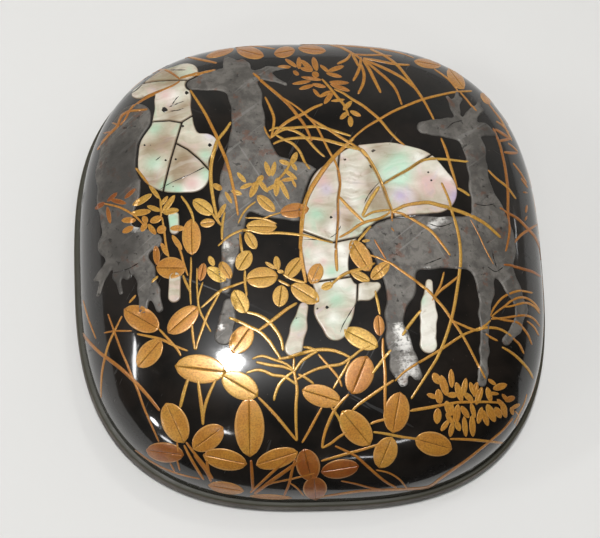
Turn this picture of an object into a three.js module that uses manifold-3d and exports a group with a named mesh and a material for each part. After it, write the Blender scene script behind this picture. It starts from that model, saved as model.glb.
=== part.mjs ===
// A small black lacquer box with rounded square sides, shown closed, in millimetres with +Z up.
// The body is a shallow tray. Its brown band stands a little proud of the lid, and an inner lip
// holds the domed lid, which lifts off. Five deer are inlaid in the lid: three are cut from lead
// sheet, and two are put together from pieces of shell. The origin is the middle of the underside.
import * as THREE from 'three';
import { mergeVertices } from 'three/addons/utils/BufferGeometryUtils.js';
import Module from 'manifold-3d';

const wasm = await Module();
wasm.setup();

// Driving sizes of the plan: half widths at the lid's edge, and how square the plan is
const lidHalfX = 39;
const lidHalfY = 40;
const edgeSquareness = 2.785;
const crownSquareness = 3.2;

// The lid
const lidEdgeZ = 3.4;
const lidRise = 17.2;
const flankPower = 3.14;
const crownPower = 2.59;
const lidWall = 2.2;
const edgeRound = 0.3;

// The body
const bandOut = 0.8;
const bandTop = 3.1;
const bandRound = 0.4;
const footIn = 0.9;
const footHeight = 0.5;
const floorTop = 1.6;
const lipIn = 2.95;
const lipWall = 1.3;
const lipTop = 7.4;

// The inlays: each plate lies in a pocket, with the same small gap under it and around it
const plateProud = 0.25;
const plateDepth = 0.25;
const fitGap = 0.3;
const shellJoint = 0.3;
const inlayLowest = 5;
const slabHeight = 60;

// How finely the curved faces are cut
const aroundSteps = 48;
const crownSteps = [0, 0.04, 0.11, 0.2, 0.3, 0.41, 0.53, 0.66, 0.82];
const limbEndSteps = 3;

// A point of the plan outline, pushed out by grow from the lid's edge line
function planPoint(angle, grow, squareness, reach) {
  const c = Math.cos(angle);
  const s = Math.sin(angle);
  const a = (lidHalfX + grow) * reach;
  const b = (lidHalfY + grow) * reach;
  const sum = Math.abs(c / a) ** squareness + Math.abs(s / b) ** squareness;
  const radius = sum ** (-1 / squareness);
  return [radius * c, radius * s];
}

// A closed solid through a row of rounded square rings, capped by a fan at each end.
// Each ring is { grow, z } with an optional squareness and reach.
function ringSolid(rings) {
  const positions = [];
  const index = [];
  for (const ring of rings) {
    for (let i = 0; i < aroundSteps; i++) {
      const angle = (2 * Math.PI * i) / aroundSteps;
      const [x, y] = planPoint(angle, ring.grow, ring.squareness ?? edgeSquareness, ring.reach ?? 1);
      positions.push(x, y, ring.z);
    }
  }
  for (let r = 0; r + 1 < rings.length; r++) {
    for (let i = 0; i < aroundSteps; i++) {
      const a = r * aroundSteps + i;
      const b = r * aroundSteps + ((i + 1) % aroundSteps);
      index.push(a, b, b + aroundSteps, a, b + aroundSteps, a + aroundSteps);
    }
  }
  const firstCentre = rings.length * aroundSteps;
  const lastStart = firstCentre - aroundSteps;
  positions.push(0, 0, rings[0].centreZ ?? rings[0].z);
  positions.push(0, 0, rings.at(-1).centreZ ?? rings.at(-1).z);
  for (let i = 0; i < aroundSteps; i++) {
    const j = (i + 1) % aroundSteps;
    index.push(firstCentre, j, i);
    index.push(firstCentre + 1, lastStart + i, lastStart + j);
  }
  const geometry = new THREE.BufferGeometry();
  geometry.setAttribute('position', new THREE.Float32BufferAttribute(positions, 3));
  geometry.setIndex(index);
  return geometry;
}

// The rings of the dome from its edge to its crown, for a dome pushed out by grow
function domeRings(grow) {
  const rings = crownSteps.map((step) => {
    const angle = (step * Math.PI) / 2;
    return {
      grow,
      reach: Math.cos(angle) ** (2 / flankPower),
      z: lidEdgeZ + (lidRise + grow) * Math.sin(angle) ** (2 / crownPower),
      squareness: edgeSquareness + (crownSquareness - edgeSquareness) * step,
    };
  });
  rings.at(-1).centreZ = lidEdgeZ + lidRise + grow;
  return rings;
}

// Geometry to a solid that can be joined and cut, and back
function solidOf(geometry) {
  const bare = geometry.clone();
  bare.deleteAttribute('normal');
  bare.deleteAttribute('uv');
  const merged = mergeVertices(bare);
  return new wasm.Manifold(new wasm.Mesh({
    numProp: 3,
    vertProperties: Float32Array.from(merged.attributes.position.array),
    triVerts: Uint32Array.from(merged.index.array),
  }));
}

function geometryOf(solid) {
  const { numProp, vertProperties, triVerts } = solid.getMesh();
  const positions = [];
  for (let i = 0; i < vertProperties.length; i += numProp) {
    positions.push(vertProperties[i], vertProperties[i + 1], vertProperties[i + 2]);
  }
  const geometry = new THREE.BufferGeometry();
  geometry.setAttribute('position', new THREE.Float32BufferAttribute(positions, 3));
  geometry.setIndex(Array.from(triVerts));
  geometry.computeVertexNormals();
  return geometry;
}

// An upright prism over one limb: two round ends of their own radii and the tangents between
function limbPrism([x0, y0, r0], [x1, y1, r1], grow) {
  const along = Math.atan2(y1 - y0, x1 - x0);
  const lean = Math.acos(THREE.MathUtils.clamp((r0 - r1) / Math.hypot(x1 - x0, y1 - y0), -1, 1));
  const shape = new THREE.Shape();
  for (let i = 0; i <= limbEndSteps; i++) {
    const a = along - lean + (2 * lean * i) / limbEndSteps;
    const point = [x1 + (r1 + grow) * Math.cos(a), y1 + (r1 + grow) * Math.sin(a)];
    if (i === 0) shape.moveTo(...point);
    else shape.lineTo(...point);
  }
  for (let i = 0; i <= limbEndSteps; i++) {
    const a = along + lean + ((2 * Math.PI - 2 * lean) * i) / limbEndSteps;
    shape.lineTo(x0 + (r0 + grow) * Math.cos(a), y0 + (r0 + grow) * Math.sin(a));
  }
  shape.closePath();
  const prism = new THREE.ExtrudeGeometry(shape, { depth: 40, bevelEnabled: false });
  prism.translate(0, 0, inlayLowest);
  return solidOf(prism);
}

// A figure is a few chains of joints. Each joint is [x, y, half width] on the plan of the lid.
function figurePrism(chains, grow = 0) {
  const limbs = [];
  for (const joints of Object.values(chains)) {
    for (let i = 0; i + 1 < joints.length; i++) limbs.push(limbPrism(joints[i], joints[i + 1], grow));
  }
  return limbs.reduce((sum, limb) => sum.add(limb));
}

// A thin upright slab from one point of the plan to another, which parts two pieces of shell
function jointSlab([x0, y0], [x1, y1]) {
  const slab = new THREE.BoxGeometry(Math.hypot(x1 - x0, y1 - y0), shellJoint, slabHeight);
  slab.rotateZ(Math.atan2(y1 - y0, x1 - x0));
  slab.translate((x0 + x1) / 2, (y0 + y1) / 2, 0);
  return solidOf(slab);
}

// Widths that the deer share
const shin = 0.8;
const tine = 0.45;

// The right-hand deer, in lead, stands with its head turned back over its shoulder
const standingDeer = {
  trunk: [[12.4, -1.4, 4.5], [22, -0.9, 4.3], [28.4, -0.8, 4.4]],
  neck: [[29, 1.6, 3.6], [27.3, 9, 1.9], [26.8, 16.4, 1.8], [25.8, 19.4, 2.1]],
  head: [[25.8, 19.6, 2], [18.5, 19.6, 1.25]],
  ear: [[27.4, 20.6, shin], [29.6, 20.2, shin]],
  antlerLeft: [[24.5, 21.4, tine], [24.8, 26.8, tine]],
  tineLeft: [[24.4, 23.4, tine], [23.1, 25.8, tine]],
  antlerRight: [[26.4, 21.8, tine], [29, 26.4, tine]],
  hindLeg: [[12.2, -5, 3.2], [11.4, -13.6, 1.4], [12, -24, 1.1]],
  hindLegFar: [[12, -17, 1.5], [14.5, -23.2, 0.9]],
  foreLeg: [[26.6, -4.4, 2.2], [26.6, -11, 1], [25.5, -23.8, shin]],
  foreLegFar: [[29.8, -4, 2.1], [33.1, -11, 1], [30.2, -16.8, shin]],
};

// The middle deer, in shell, grazes behind it, with its back in a high arch
const grazingDeer = {
  trunk: [[18.9, 8.3, 4.2], [14, 9.9, 6.2], [8.4, 9, 7], [2.6, 4.8, 5.4]],
  neck: [[2, 2.6, 4.9], [0.5, -4, 3.4], [1.6, -9, 3]],
  head: [[2.2, -9.8, 3.1], [1.3, -13, 2.9], [1.5, -15.8, 1.9]],
  ear: [[4.6, -10, 1.1], [8.2, -9, 1.1]],
};
const grazingForeLeg = { leg: [[-3.6, -12.2, 0.9], [-5.4, -18.8, 1.5]] };
const grazingHindLeg = { leg: [[17.3, -8, 0.7], [16.9, -13.6, 1.2], [16.6, -18.6, 1.4]] };

// The deer left of the middle, in lead, looks to the left with its neck upright
const watchingDeer = {
  trunk: [[-11, 10, 5.2], [-3.9, 7.8, 5.2]],
  neck: [[-10.9, 14, 4.2], [-11, 21.6, 2.6], [-11.6, 27.6, 2.6]],
  head: [[-12, 28.9, 2.5], [-19.5, 28.6, 1.3]],
  ear: [[-12.8, 31, shin], [-13.6, 33.4, shin]],
  antler: [[-10, 30.2, tine], [-4.2, 31.4, tine]],
  tineLow: [[-9.4, 29.6, tine], [-4.6, 28.1, tine]],
  foreLeg: [[-14, 6.2, 2.6], [-14.8, -1.8, 1.3], [-16, -8.5, shin]],
};
const watchingShin = { leg: [[-15.5, -11.2, 1], [-16.4, -16.4, 1.5]] };

// The left-hand deer, in shell, holds its head up to the corner of the lid
const alertDeer = {
  trunk: [[-24.2, 15.6, 4.9], [-22.6, 13.5, 4.6]],
  shoulder: [[-22, 15.6, 3.4], [-18.6, 16.4, 2.2]],
  belly: [[-23.6, 11.5, 2.9], [-20.7, 11.1, 2.8]],
  neck: [[-23.5, 19.4, 3.7], [-23.2, 25.4, 2.8], [-23, 28.6, 2.5]],
  head: [[-21, 31.6, 2.3], [-28.2, 28.8, 1.6]],
};
const alertKnee = { leg: [[-23.8, 4.4, 0.9], [-23.8, 2, 0.9]] };
const alertHoof = { leg: [[-24, -6.2, 1], [-24.2, -9.4, 1]] };

// The far left deer, in lead, bends its neck down the side of the lid
const bowingDeer = {
  trunk: [[-30.2, 22.6, 3.6], [-32.2, 14, 3.8], [-32.9, 6, 2.7]],
  head: [[-33.4, 1, 2.7], [-30.6, 0.8, 2.5], [-27, 0.4, 1.4]],
  antler: [[-34, -1.6, tine], [-36, -6.6, tine]],
  tine: [[-33, -2, tine], [-32.6, -7.6, tine]],
  foreLeg: [[-29.6, -1.8, 1.5], [-28.9, -7, 1], [-29.2, -11, shin]],
  foreLegFar: [[-28.6, -4.6, 1.1], [-26.6, -11, shin]],
};

// Where the shell is jointed: each joint runs from one point of the plan to another
const grazingJoints = [
  [[4.9, 18], [2.2, -1.6]],
  [[7.4, 19], [12.8, 3]],
  [[9.6, 8.2], [23, 15.6]],
  [[-4.5, -0.8], [8, 0.2]],
  [[-4, -8.2], [6, -6.8]],
  [[4.8, -16], [5.6, -7]],
];
const alertJoints = [
  [[-28, 21.6], [-17, 22.4]],
  [[-26.4, 7], [-21, 22.6]],
  [[-23.4, 17.2], [-14, 9.4]],
  [[-29, 31], [-18, 29.2]],
];

// The faces that the inlays are cut from: the plates' layer, and the deeper one of their pockets
const plateLayer = solidOf(ringSolid(domeRings(plateProud)))
  .subtract(solidOf(ringSolid(domeRings(-plateDepth))));
const pocketFloor = solidOf(ringSolid(domeRings(-plateDepth - fitGap)));

// A figure less the one that lies over it, with the gap between them
const cutUnder = (figure, above) => figurePrism(figure).subtract(figurePrism(above, fitGap));
const cutJoints = (prism, joints) => joints.reduce((rest, joint) => rest.subtract(jointSlab(...joint)), prism);
const standing = figurePrism(standingDeer);
const grazing = cutJoints(cutUnder(grazingDeer, standingDeer), grazingJoints);
const watching = cutUnder(watchingDeer, grazingDeer);
const alert = cutJoints(cutUnder(alertDeer, watchingDeer), alertJoints);
const bowing = cutUnder(bowingDeer, alertDeer);

// The lid: the outer dome less the inner one, less the pockets that the inlays lie in
const lidShell = ringSolid([
  ...domeRings(-lidWall).toReversed(),
  { grow: -edgeRound, z: lidEdgeZ },
  { grow: 0, z: lidEdgeZ + edgeRound },
  ...domeRings(0).slice(1),
]);
const allFigures = [
  standingDeer, grazingDeer, grazingForeLeg, grazingHindLeg, watchingDeer, watchingShin,
  alertDeer, alertKnee, alertHoof, bowingDeer,
];
const pockets = allFigures
  .map((figure) => figurePrism(figure, fitGap))
  .reduce((sum, prism) => sum.add(prism))
  .subtract(pocketFloor);
const lid = solidOf(lidShell).subtract(pockets);

// The body: foot, band, shoulder, lip and floor, from the underside round to the inside
const bodyTray = ringSolid([
  { grow: -footIn, z: 0 },
  { grow: -footIn, z: footHeight },
  { grow: bandOut - bandRound, z: footHeight },
  { grow: bandOut, z: footHeight + bandRound },
  { grow: bandOut, z: bandTop - bandRound },
  { grow: bandOut - bandRound, z: bandTop },
  { grow: -lipIn, z: bandTop },
  { grow: -lipIn, z: lipTop },
  { grow: -lipIn - lipWall, z: lipTop },
  { grow: -lipIn - lipWall, z: floorTop + lipWall / 2 },
  { grow: -lipIn - 1.5 * lipWall, z: floorTop },
]);

// Finishes
const lacquer = { color: 0x0b0a09, roughness: 0.08, metalness: 0 };
const band = { color: 0x4a4236, roughness: 0.6, metalness: 0.1 };
const lead = { color: 0x6a6a6a, roughness: 0.5, metalness: 0.7 };
const shell = { color: 0xe6e2d8, roughness: 0.2, metalness: 0.1 };

const box = new THREE.Group();
function addPiece(name, geometry, finish) {
  const mesh = new THREE.Mesh(geometry, new THREE.MeshStandardMaterial(finish));
  mesh.name = name;
  box.add(mesh);
}

// A cut figure falls into separate plates, which are numbered from the left
function addPlates(name, prism, finish) {
  const plates = prism.intersect(plateLayer).decompose()
    .filter((plate) => plate.volume() > 0.5)
    .sort((one, other) => one.boundingBox().min[0] - other.boundingBox().min[0]);
  plates.forEach((plate, i) => {
    addPiece(plates.length > 1 ? `${name}_${i + 1}` : name, geometryOf(plate), finish);
  });
}

addPiece('body', bodyTray, band);
addPiece('lid', geometryOf(lid), lacquer);
addPlates('standing_deer_lead', standing, lead);
addPlates('watching_deer_lead', watching, lead);
addPlates('watching_deer_shin', figurePrism(watchingShin), lead);
addPlates('bowing_deer_lead', bowing, lead);
addPlates('grazing_deer_shell', grazing, shell);
addPlates('grazing_deer_foreleg', figurePrism(grazingForeLeg), shell);
addPlates('grazing_deer_hindleg', figurePrism(grazingHindLeg), shell);
addPlates('alert_deer_shell', alert, shell);
addPlates('alert_deer_knee', figurePrism(alertKnee), shell);
addPlates('alert_deer_hoof', figurePrism(alertHoof), shell);

export default box;
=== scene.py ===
import math
import bpy
import numpy as np
from mathutils import Matrix, Vector


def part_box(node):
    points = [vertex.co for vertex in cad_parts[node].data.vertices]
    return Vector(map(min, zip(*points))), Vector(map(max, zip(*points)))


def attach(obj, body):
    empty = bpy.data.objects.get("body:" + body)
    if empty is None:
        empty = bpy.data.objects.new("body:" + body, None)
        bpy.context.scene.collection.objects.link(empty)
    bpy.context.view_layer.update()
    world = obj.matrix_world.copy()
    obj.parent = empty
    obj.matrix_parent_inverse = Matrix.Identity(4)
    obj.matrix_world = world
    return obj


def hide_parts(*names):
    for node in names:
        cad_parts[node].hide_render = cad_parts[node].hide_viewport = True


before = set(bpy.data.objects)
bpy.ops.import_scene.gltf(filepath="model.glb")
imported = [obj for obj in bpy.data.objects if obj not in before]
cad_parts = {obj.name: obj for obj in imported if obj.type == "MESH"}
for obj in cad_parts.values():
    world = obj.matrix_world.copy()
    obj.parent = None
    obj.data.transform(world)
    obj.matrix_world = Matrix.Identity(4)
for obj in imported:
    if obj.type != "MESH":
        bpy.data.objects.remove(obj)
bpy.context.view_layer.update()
mm = 0.001   # shapes are worked out in millimetres and built in metres
scene = bpy.context.scene
scene.view_settings.view_transform = "Standard"
print("frame loaded:", len(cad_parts), "nodes")

viewSpec = {
    "tilt": 20.0,          # degrees that the view leans away from straight down
    "turn": 0.325,         # radians from +Y that it leans towards
    "roll": 16.8,          # degrees that the picture is turned
    "distance": 452.4,     # mm from the frame's origin
    "focalPixels": 2658.4,
    "middle": (309.0, 278.0),   # pixel that the origin falls on
    "picture": (600.0, 538.0),
    "sensor": 36.0,
    "search": (-50.0, 30.0, 161),   # mm round the origin where a pixel's ray is followed, and steps
    "halvings": 22,
}


def viewAxes(spec):
    tilt, roll, turn = math.radians(spec["tilt"]), math.radians(spec["roll"]), spec["turn"]
    forward = np.array([math.sin(tilt) * math.sin(turn), math.sin(tilt) * math.cos(turn), -math.cos(tilt)])
    level = np.array([math.cos(tilt) * math.sin(turn), math.cos(tilt) * math.cos(turn), math.sin(tilt)])
    side = np.cross(forward, level)
    up = math.cos(roll) * level - math.sin(roll) * side
    right = math.sin(roll) * level + math.cos(roll) * side
    return right, up, forward


viewRight, viewUp, viewForward = viewAxes(viewSpec)
viewPoint = -viewForward * viewSpec["distance"]   # mm


def addCamera(spec):
    data = bpy.data.cameras.new("photoView")
    data.sensor_width = spec["sensor"]
    data.lens = spec["focalPixels"] * spec["sensor"] / spec["picture"][0]
    data.shift_x = (spec["picture"][0] / 2 - spec["middle"][0]) / spec["picture"][0]
    data.shift_y = (spec["middle"][1] - spec["picture"][1] / 2) / spec["picture"][0]
    data.clip_start, data.clip_end = 0.01, 20.0
    camera = bpy.data.objects.new("photoView", data)
    scene.collection.objects.link(camera)
    turn = Matrix([viewRight, viewUp, -viewForward]).transposed().to_4x4()
    camera.matrix_world = Matrix.Translation(Vector(viewPoint * mm)) @ turn
    scene.camera = camera


addCamera(viewSpec)

dome = {
    "halfX": 39.0, "halfY": 40.0,            # half sizes of the lid's lower edge
    "edgeSquareness": 2.785, "crownSquareness": 3.2,
    "edgeZ": 3.4, "rise": 17.2,
    "flankPower": 3.14, "crownPower": 2.59,
    "halvings": 34,            # steps in which a height is found
    "slopeReach": 0.02,        # mm over which a slope is taken
}


def squarenessAt(step):
    return dome["edgeSquareness"] + (dome["crownSquareness"] - dome["edgeSquareness"]) * step


def planReach(x, y, squareness, grow=0.0):
    return (np.abs(x / (dome["halfX"] + grow)) ** squareness
            + np.abs(y / (dome["halfY"] + grow)) ** squareness) ** (1 / squareness)


def outsideDome(p):   # below 0 inside the dome, above 0 outside it
    rise = np.clip((p[..., 2] - dome["edgeZ"]) / dome["rise"], 0, 1)
    angle = np.arcsin(rise ** (dome["crownPower"] / 2))
    reach = np.cos(angle) ** (2 / dome["flankPower"])
    over = planReach(p[..., 0], p[..., 1], squarenessAt(angle * 2 / math.pi)) - reach
    beyond = (p[..., 2] > dome["edgeZ"] + dome["rise"]) | (p[..., 2] < dome["edgeZ"])
    return np.where(beyond, 1.0, over)


def domeHeight(x, y):
    low, high = np.zeros(np.shape(x)), np.ones(np.shape(x))
    for _ in range(dome["halvings"]):
        step = (low + high) / 2
        short = np.cos(step * math.pi / 2) ** (2 / dome["flankPower"]) < planReach(x, y, squarenessAt(step))
        high, low = np.where(short, step, high), np.where(short, low, step)
    return dome["edgeZ"] + dome["rise"] * np.sin(low * math.pi / 2) ** (2 / dome["crownPower"])


def domeNormal(p):
    reach = dome["slopeReach"]
    normal = np.stack([outsideDome(p + axis) - outsideDome(p - axis) for axis in np.eye(3) * reach], -1)
    flat = p[..., 2] > dome["edgeZ"] + dome["rise"] - 2 * reach   # the crown itself
    normal[flat] = (0, 0, 1)
    return normal / np.linalg.norm(normal, axis=-1, keepdims=True)


def seenOnLid(pixels):   # points of the dome that the photo's pixels look at
    pixels = np.asarray(pixels, float)
    across = (pixels[:, 0] - viewSpec["middle"][0]) / viewSpec["focalPixels"]
    down = (pixels[:, 1] - viewSpec["middle"][1]) / viewSpec["focalPixels"]
    rays = viewForward + across[:, None] * viewRight - down[:, None] * viewUp
    rays /= np.linalg.norm(rays, axis=1, keepdims=True)
    before, behind, steps = viewSpec["search"]
    reach = np.linspace(viewSpec["distance"] + before, viewSpec["distance"] + behind, steps)
    found = np.full(len(rays), np.nan)
    for i in range(len(reach) - 1, -1, -1):
        found[outsideDome(viewPoint + reach[i] * rays) < 0] = reach[i]
    missed = np.isnan(found)
    high = np.where(missed, reach[-1], found)
    low = high - (reach[1] - reach[0])
    for _ in range(viewSpec["halvings"]):
        middle = (low + high) / 2
        inside = outsideDome(viewPoint + middle[:, None] * rays) < 0
        high, low = np.where(inside, middle, high), np.where(inside, low, middle)
    points = viewPoint + high[:, None] * rays
    points[missed] = np.nan
    return points


def meshPiece(name, points, faces, material, nodes=(), masks=None):
    mesh = bpy.data.meshes.new(name)
    mesh.from_pydata((np.asarray(points) * mm).tolist(), [], [tuple(f) for f in faces])
    mesh.materials.append(material)
    mesh.shade_smooth()
    for mask, values in (masks or {}).items():
        mesh.attributes.new(mask, "FLOAT", "POINT").data.foreach_set("value", np.asarray(values, np.float32))
    piece = bpy.data.objects.new(name, mesh)
    scene.collection.objects.link(piece)
    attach(piece, "root")
    if nodes:
        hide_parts(*nodes)
    return piece


def ringFaces(rings, around, closed=True):
    faces = []
    for i in range(rings if closed else rings - 1):
        a, b = i * around, ((i + 1) % rings) * around
        for j in range(around):
            k = (j + 1) % around
            faces.append((a + j, a + k, b + k, b + j))
    return faces


def flatRing(grow, z, around, squareness=None):
    turn = np.arange(around) * 2 * math.pi / around
    n = squareness or dome["edgeSquareness"]
    c, s = np.cos(turn), np.sin(turn)
    far = planReach(c, s, n, grow) ** -1
    return np.stack([c * far, s * far, np.full(around, z)], 1)


def domeRing(step, grow, around):
    angle = step * math.pi / 2
    ring = flatRing(grow, 0.0, around, squarenessAt(step))
    ring[:, :2] *= math.cos(angle) ** (2 / dome["flankPower"])
    ring[:, 2] = dome["edgeZ"] + (dome["rise"] + grow) * math.sin(angle) ** (2 / dome["crownPower"])
    return ring


def socket(tree, node, name, value):   # joins a value to an input, or sets it there
    if isinstance(value, bpy.types.NodeSocket):
        tree.links.new(value, node.inputs[name])
    elif value is not None:
        node.inputs[name].default_value = value


def addNode(tree, kind, settings=None, inputs=None):
    node = tree.nodes.new(kind)
    for key, value in (settings or {}).items():
        setattr(node, key, value)
    for name, value in (inputs or {}).items():
        socket(tree, node, name, value)
    return node


def maths(tree, operation, a, b=None, clamp=False):
    settings = {"operation": operation, "use_clamp": clamp}
    return addNode(tree, "ShaderNodeMath", settings, {0: a, 1: b}).outputs[0]


def vectorMaths(tree, operation, a, b):
    return addNode(tree, "ShaderNodeVectorMath", {"operation": operation}, {0: a, 1: b}).outputs[0]


def summed(tree, value, *parts):   # adds parts to a value, each times its weight
    for part, weight in parts:
        value = maths(tree, "ADD", value, part if weight == 1 else maths(tree, "MULTIPLY", part, weight))
    return value


def mixColour(tree, share, a, b):
    return addNode(tree, "ShaderNodeMix", {"data_type": "RGBA"}, {0: share, 6: a, 7: b}).outputs[2]


def layered(tree, colour, *layers):   # lays layers on a colour, each a mask with its strength and colour
    for mask, (strength, over) in layers:
        share = mask if strength == 1 else maths(tree, "MULTIPLY", mask, strength)
        colour = mixColour(tree, share, colour, over)
    return colour


def ramp(tree, value, stops):
    node = tree.nodes.new("ShaderNodeValToRGB")
    socket(tree, node, 0, value)
    while len(node.color_ramp.elements) < len(stops):
        node.color_ramp.elements.new(0.5)
    for element, (position, colour) in zip(node.color_ramp.elements, stops):
        element.position, element.color = position, colour
    return node.outputs[0]


def noise(tree, place, scale, detail=4.0, roughness=0.55, distortion=0.0):
    inputs = {"Vector": place, "Scale": scale, "Detail": detail, "Roughness": roughness,
              "Distortion": distortion}
    return addNode(tree, "ShaderNodeTexNoise", None, inputs).outputs[0]


def bands(tree, place, scale, distortion, detail, detailScale, detailRoughness):
    return addNode(tree, "ShaderNodeTexWave", {"wave_type": "BANDS", "bands_direction": "Y"}, {
        "Vector": place, "Scale": scale, "Distortion": distortion, "Detail": detail,
        "Detail Scale": detailScale, "Detail Roughness": detailRoughness}).outputs["Fac"]


def newMaterial(name):
    material = bpy.data.materials.new(name)
    material.use_nodes = True
    tree = material.node_tree
    place = tree.nodes.new("ShaderNodeTexCoord").outputs["Object"]
    return material, tree, tree.nodes["Principled BSDF"], place


def newGroup(name, inputs, outputs):   # a node group; its number inputs are given as name and usual value
    group = bpy.data.node_groups.new(name, "ShaderNodeTree")
    group.interface.new_socket("Place", in_out="INPUT", socket_type="NodeSocketVector")
    for label, usual in inputs.items():
        given = group.interface.new_socket(label, in_out="INPUT", socket_type="NodeSocketFloat")
        given.default_value = usual
    for label in outputs:
        group.interface.new_socket(label, in_out="OUTPUT", socket_type="NodeSocketFloat")
    return group, group.nodes.new("NodeGroupInput").outputs, group.nodes.new("NodeGroupOutput").inputs


def placeGroup(tree, group, place, *values):   # values in the order of the group's inputs
    return addNode(tree, "ShaderNodeGroup", {"node_tree": group}, dict(enumerate((place, *values)))).outputs


def between(tree, value, low, high):   # 0 at low and below, 1 at high and above
    return addNode(tree, "ShaderNodeMapRange", {"interpolation_type": "SMOOTHSTEP"},
                   {"Value": value, "From Min": low, "From Max": high}).outputs[0]


def makeFineGrain():   # specks of powder, pits or dust
    inputs = {"Scale": 3000.0, "From": 0.4, "To": 0.6, "Roughness": 0.6}
    group, given, out = newGroup("fineGrain", inputs, ["Mask", "Height"])
    value = noise(group, given["Place"], given["Scale"], 3.0, given["Roughness"])
    group.links.new(between(group, value, given["From"], given["To"]), out["Mask"])
    group.links.new(value, out["Height"])
    return group


def makeHairLines():   # fine scratches that run one way
    group, given, out = newGroup("hairLines", {"Scale": 900.0, "Turn": 0.4, "Spread": 0.62}, ["Mask"])
    turn = addNode(group, "ShaderNodeCombineXYZ", None, {"Z": given["Turn"]}).outputs[0]
    turned = addNode(group, "ShaderNodeVectorRotate", {"rotation_type": "EULER_XYZ"},
                     {"Vector": given["Place"], "Rotation": turn}).outputs[0]
    drawn = vectorMaths(group, "MULTIPLY", turned, (1.0, 0.035, 0.3))
    value = noise(group, drawn, given["Scale"], 2.0, 0.5, 0.3)
    softEnd = maths(group, "ADD", given["Spread"], 0.07)
    group.links.new(between(group, value, given["Spread"], softEnd), out["Mask"])
    return group


def makeBlotches():   # broad uneven tone, as wear and age leave it
    group, given, out = newGroup("blotches", {"Scale": 200.0, "From": 0.35, "To": 0.65}, ["Mask"])
    value = noise(group, given["Place"], given["Scale"], 5.0, 0.65, 0.4)
    group.links.new(between(group, value, given["From"], given["To"]), out["Mask"])
    return group


fineGrain, hairLines, blotches = makeFineGrain(), makeHairLines(), makeBlotches()


def crossedLines(tree, place, sets):   # scratches that run two ways
    return maths(tree, "MAXIMUM", *[placeGroup(tree, hairLines, place, *values)["Mask"] for values in sets])


def maskOf(tree, name):
    return addNode(tree, "ShaderNodeAttribute", {"attribute_name": name}).outputs["Fac"]


def inverse(tree, value):
    return maths(tree, "SUBTRACT", 1.0, value)


def finish(tree, shader, colour, roughness, height=None, bump=(0.3, 0.00003), metallic=None):
    socket(tree, shader, "Base Color", colour)
    socket(tree, shader, "Roughness", roughness)
    socket(tree, shader, "Metallic", metallic)
    if height is not None:
        inputs = {"Strength": bump[0], "Distance": bump[1], "Height": height}
        socket(tree, shader, "Normal", addNode(tree, "ShaderNodeBump", None, inputs).outputs[0])


def addCoat(shader, weight, roughness):
    shader.inputs["Coat Weight"].default_value = weight
    shader.inputs["Coat Roughness"].default_value = roughness


def rgb(*colour):
    return (*colour, 1.0)


# In the looks a layer is its strength and colour, clouds are their scale and limits, grain is its scale,
# limits and roughness, lines are their scale, turn and limit, and bump is its strength and depth.
lacquerLook = {
    "colour": rgb(0.0045, 0.0038, 0.0030), "worn": (1, rgb(0.012, 0.009, 0.007)),
    # chafed edge: rubbed wear and a painted highlight along the lid's lower edge
    "dust": (0.5, rgb(0.12, 0.10, 0.08)), "chafed": (1, rgb(0.16, 0.145, 0.12)),
    "clouds": (130.0,), "grain": (2600.0, 0.72, 0.76, 0.5),
    "lines": [(1100.0, 0.5, 0.66), (800.0, -1.1, 0.68)],
    "edgeCloud": 0.3, "edgeWear": (0.75, 1.15),
    "roughness": 0.06, "lineRoughness": 0.30, "cloudRoughness": 0.03, "edgeRoughness": 0.3,
    "waves": 90.0, "lineDepth": -0.01, "bump": (0.25, 0.0004), "haze": 0.25, "hazeRoughness": 0.30,
}


def makeLacquer(look):
    material, tree, shader, place = newMaterial("blackLacquer")
    cloud = placeGroup(tree, blotches, place, *look["clouds"])["Mask"]
    dust = placeGroup(tree, fineGrain, place, *look["grain"])["Mask"]
    lines = crossedLines(tree, place, look["lines"])
    # rubbed wear and a painted highlight along the lid's lower edge
    chafed = between(tree, summed(tree, maskOf(tree, "edge"), (cloud, look["edgeCloud"])), *look["edgeWear"])
    colour = layered(tree, look["colour"], (cloud, look["worn"]), (dust, look["dust"]),
                     (chafed, look["chafed"]))
    rough = summed(tree, look["roughness"], (lines, look["lineRoughness"]), (cloud, look["cloudRoughness"]),
                   (chafed, look["edgeRoughness"]))
    height = summed(tree, noise(tree, place, look["waves"], 2.0), (lines, look["lineDepth"]))
    finish(tree, shader, colour, rough, height, look["bump"])
    addCoat(shader, look["haze"], look["hazeRoughness"])
    return material


darkBrown = rgb(0.045, 0.036, 0.026)
bandLook = {
    "colour": rgb(0.085, 0.068, 0.048), "clouded": (0.7, darkBrown), "grained": (0.35, darkBrown),
    # border: painted shade on the band's rounded top and bottom edges
    "border": (1, rgb(0.030, 0.028, 0.014)), "inside": (1, rgb(0.005, 0.004, 0.0035)),
    "clouds": (160.0,), "grain": (1400.0, 0.35, 0.7), "bump": (0.3, 0.00004),
    "roughness": 0.5, "cloudRoughness": 0.1, "insideRoughness": -0.35,
}


def makeBand(look):
    material, tree, shader, place = newMaterial("brownBand")
    grain = placeGroup(tree, fineGrain, place, *look["grain"])
    cloud = placeGroup(tree, blotches, place, *look["clouds"])["Mask"]
    inner = maskOf(tree, "inside")
    # the border mask lays painted shade on the band's edges
    colour = layered(tree, look["colour"], (cloud, look["clouded"]), (grain["Mask"], look["grained"]),
                     (maskOf(tree, "border"), look["border"]), (inner, look["inside"]))
    rough = summed(tree, look["roughness"], (cloud, look["cloudRoughness"]),
                   (inner, look["insideRoughness"]))
    finish(tree, shader, colour, rough, grain["Height"], look["bump"])
    return material


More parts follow.
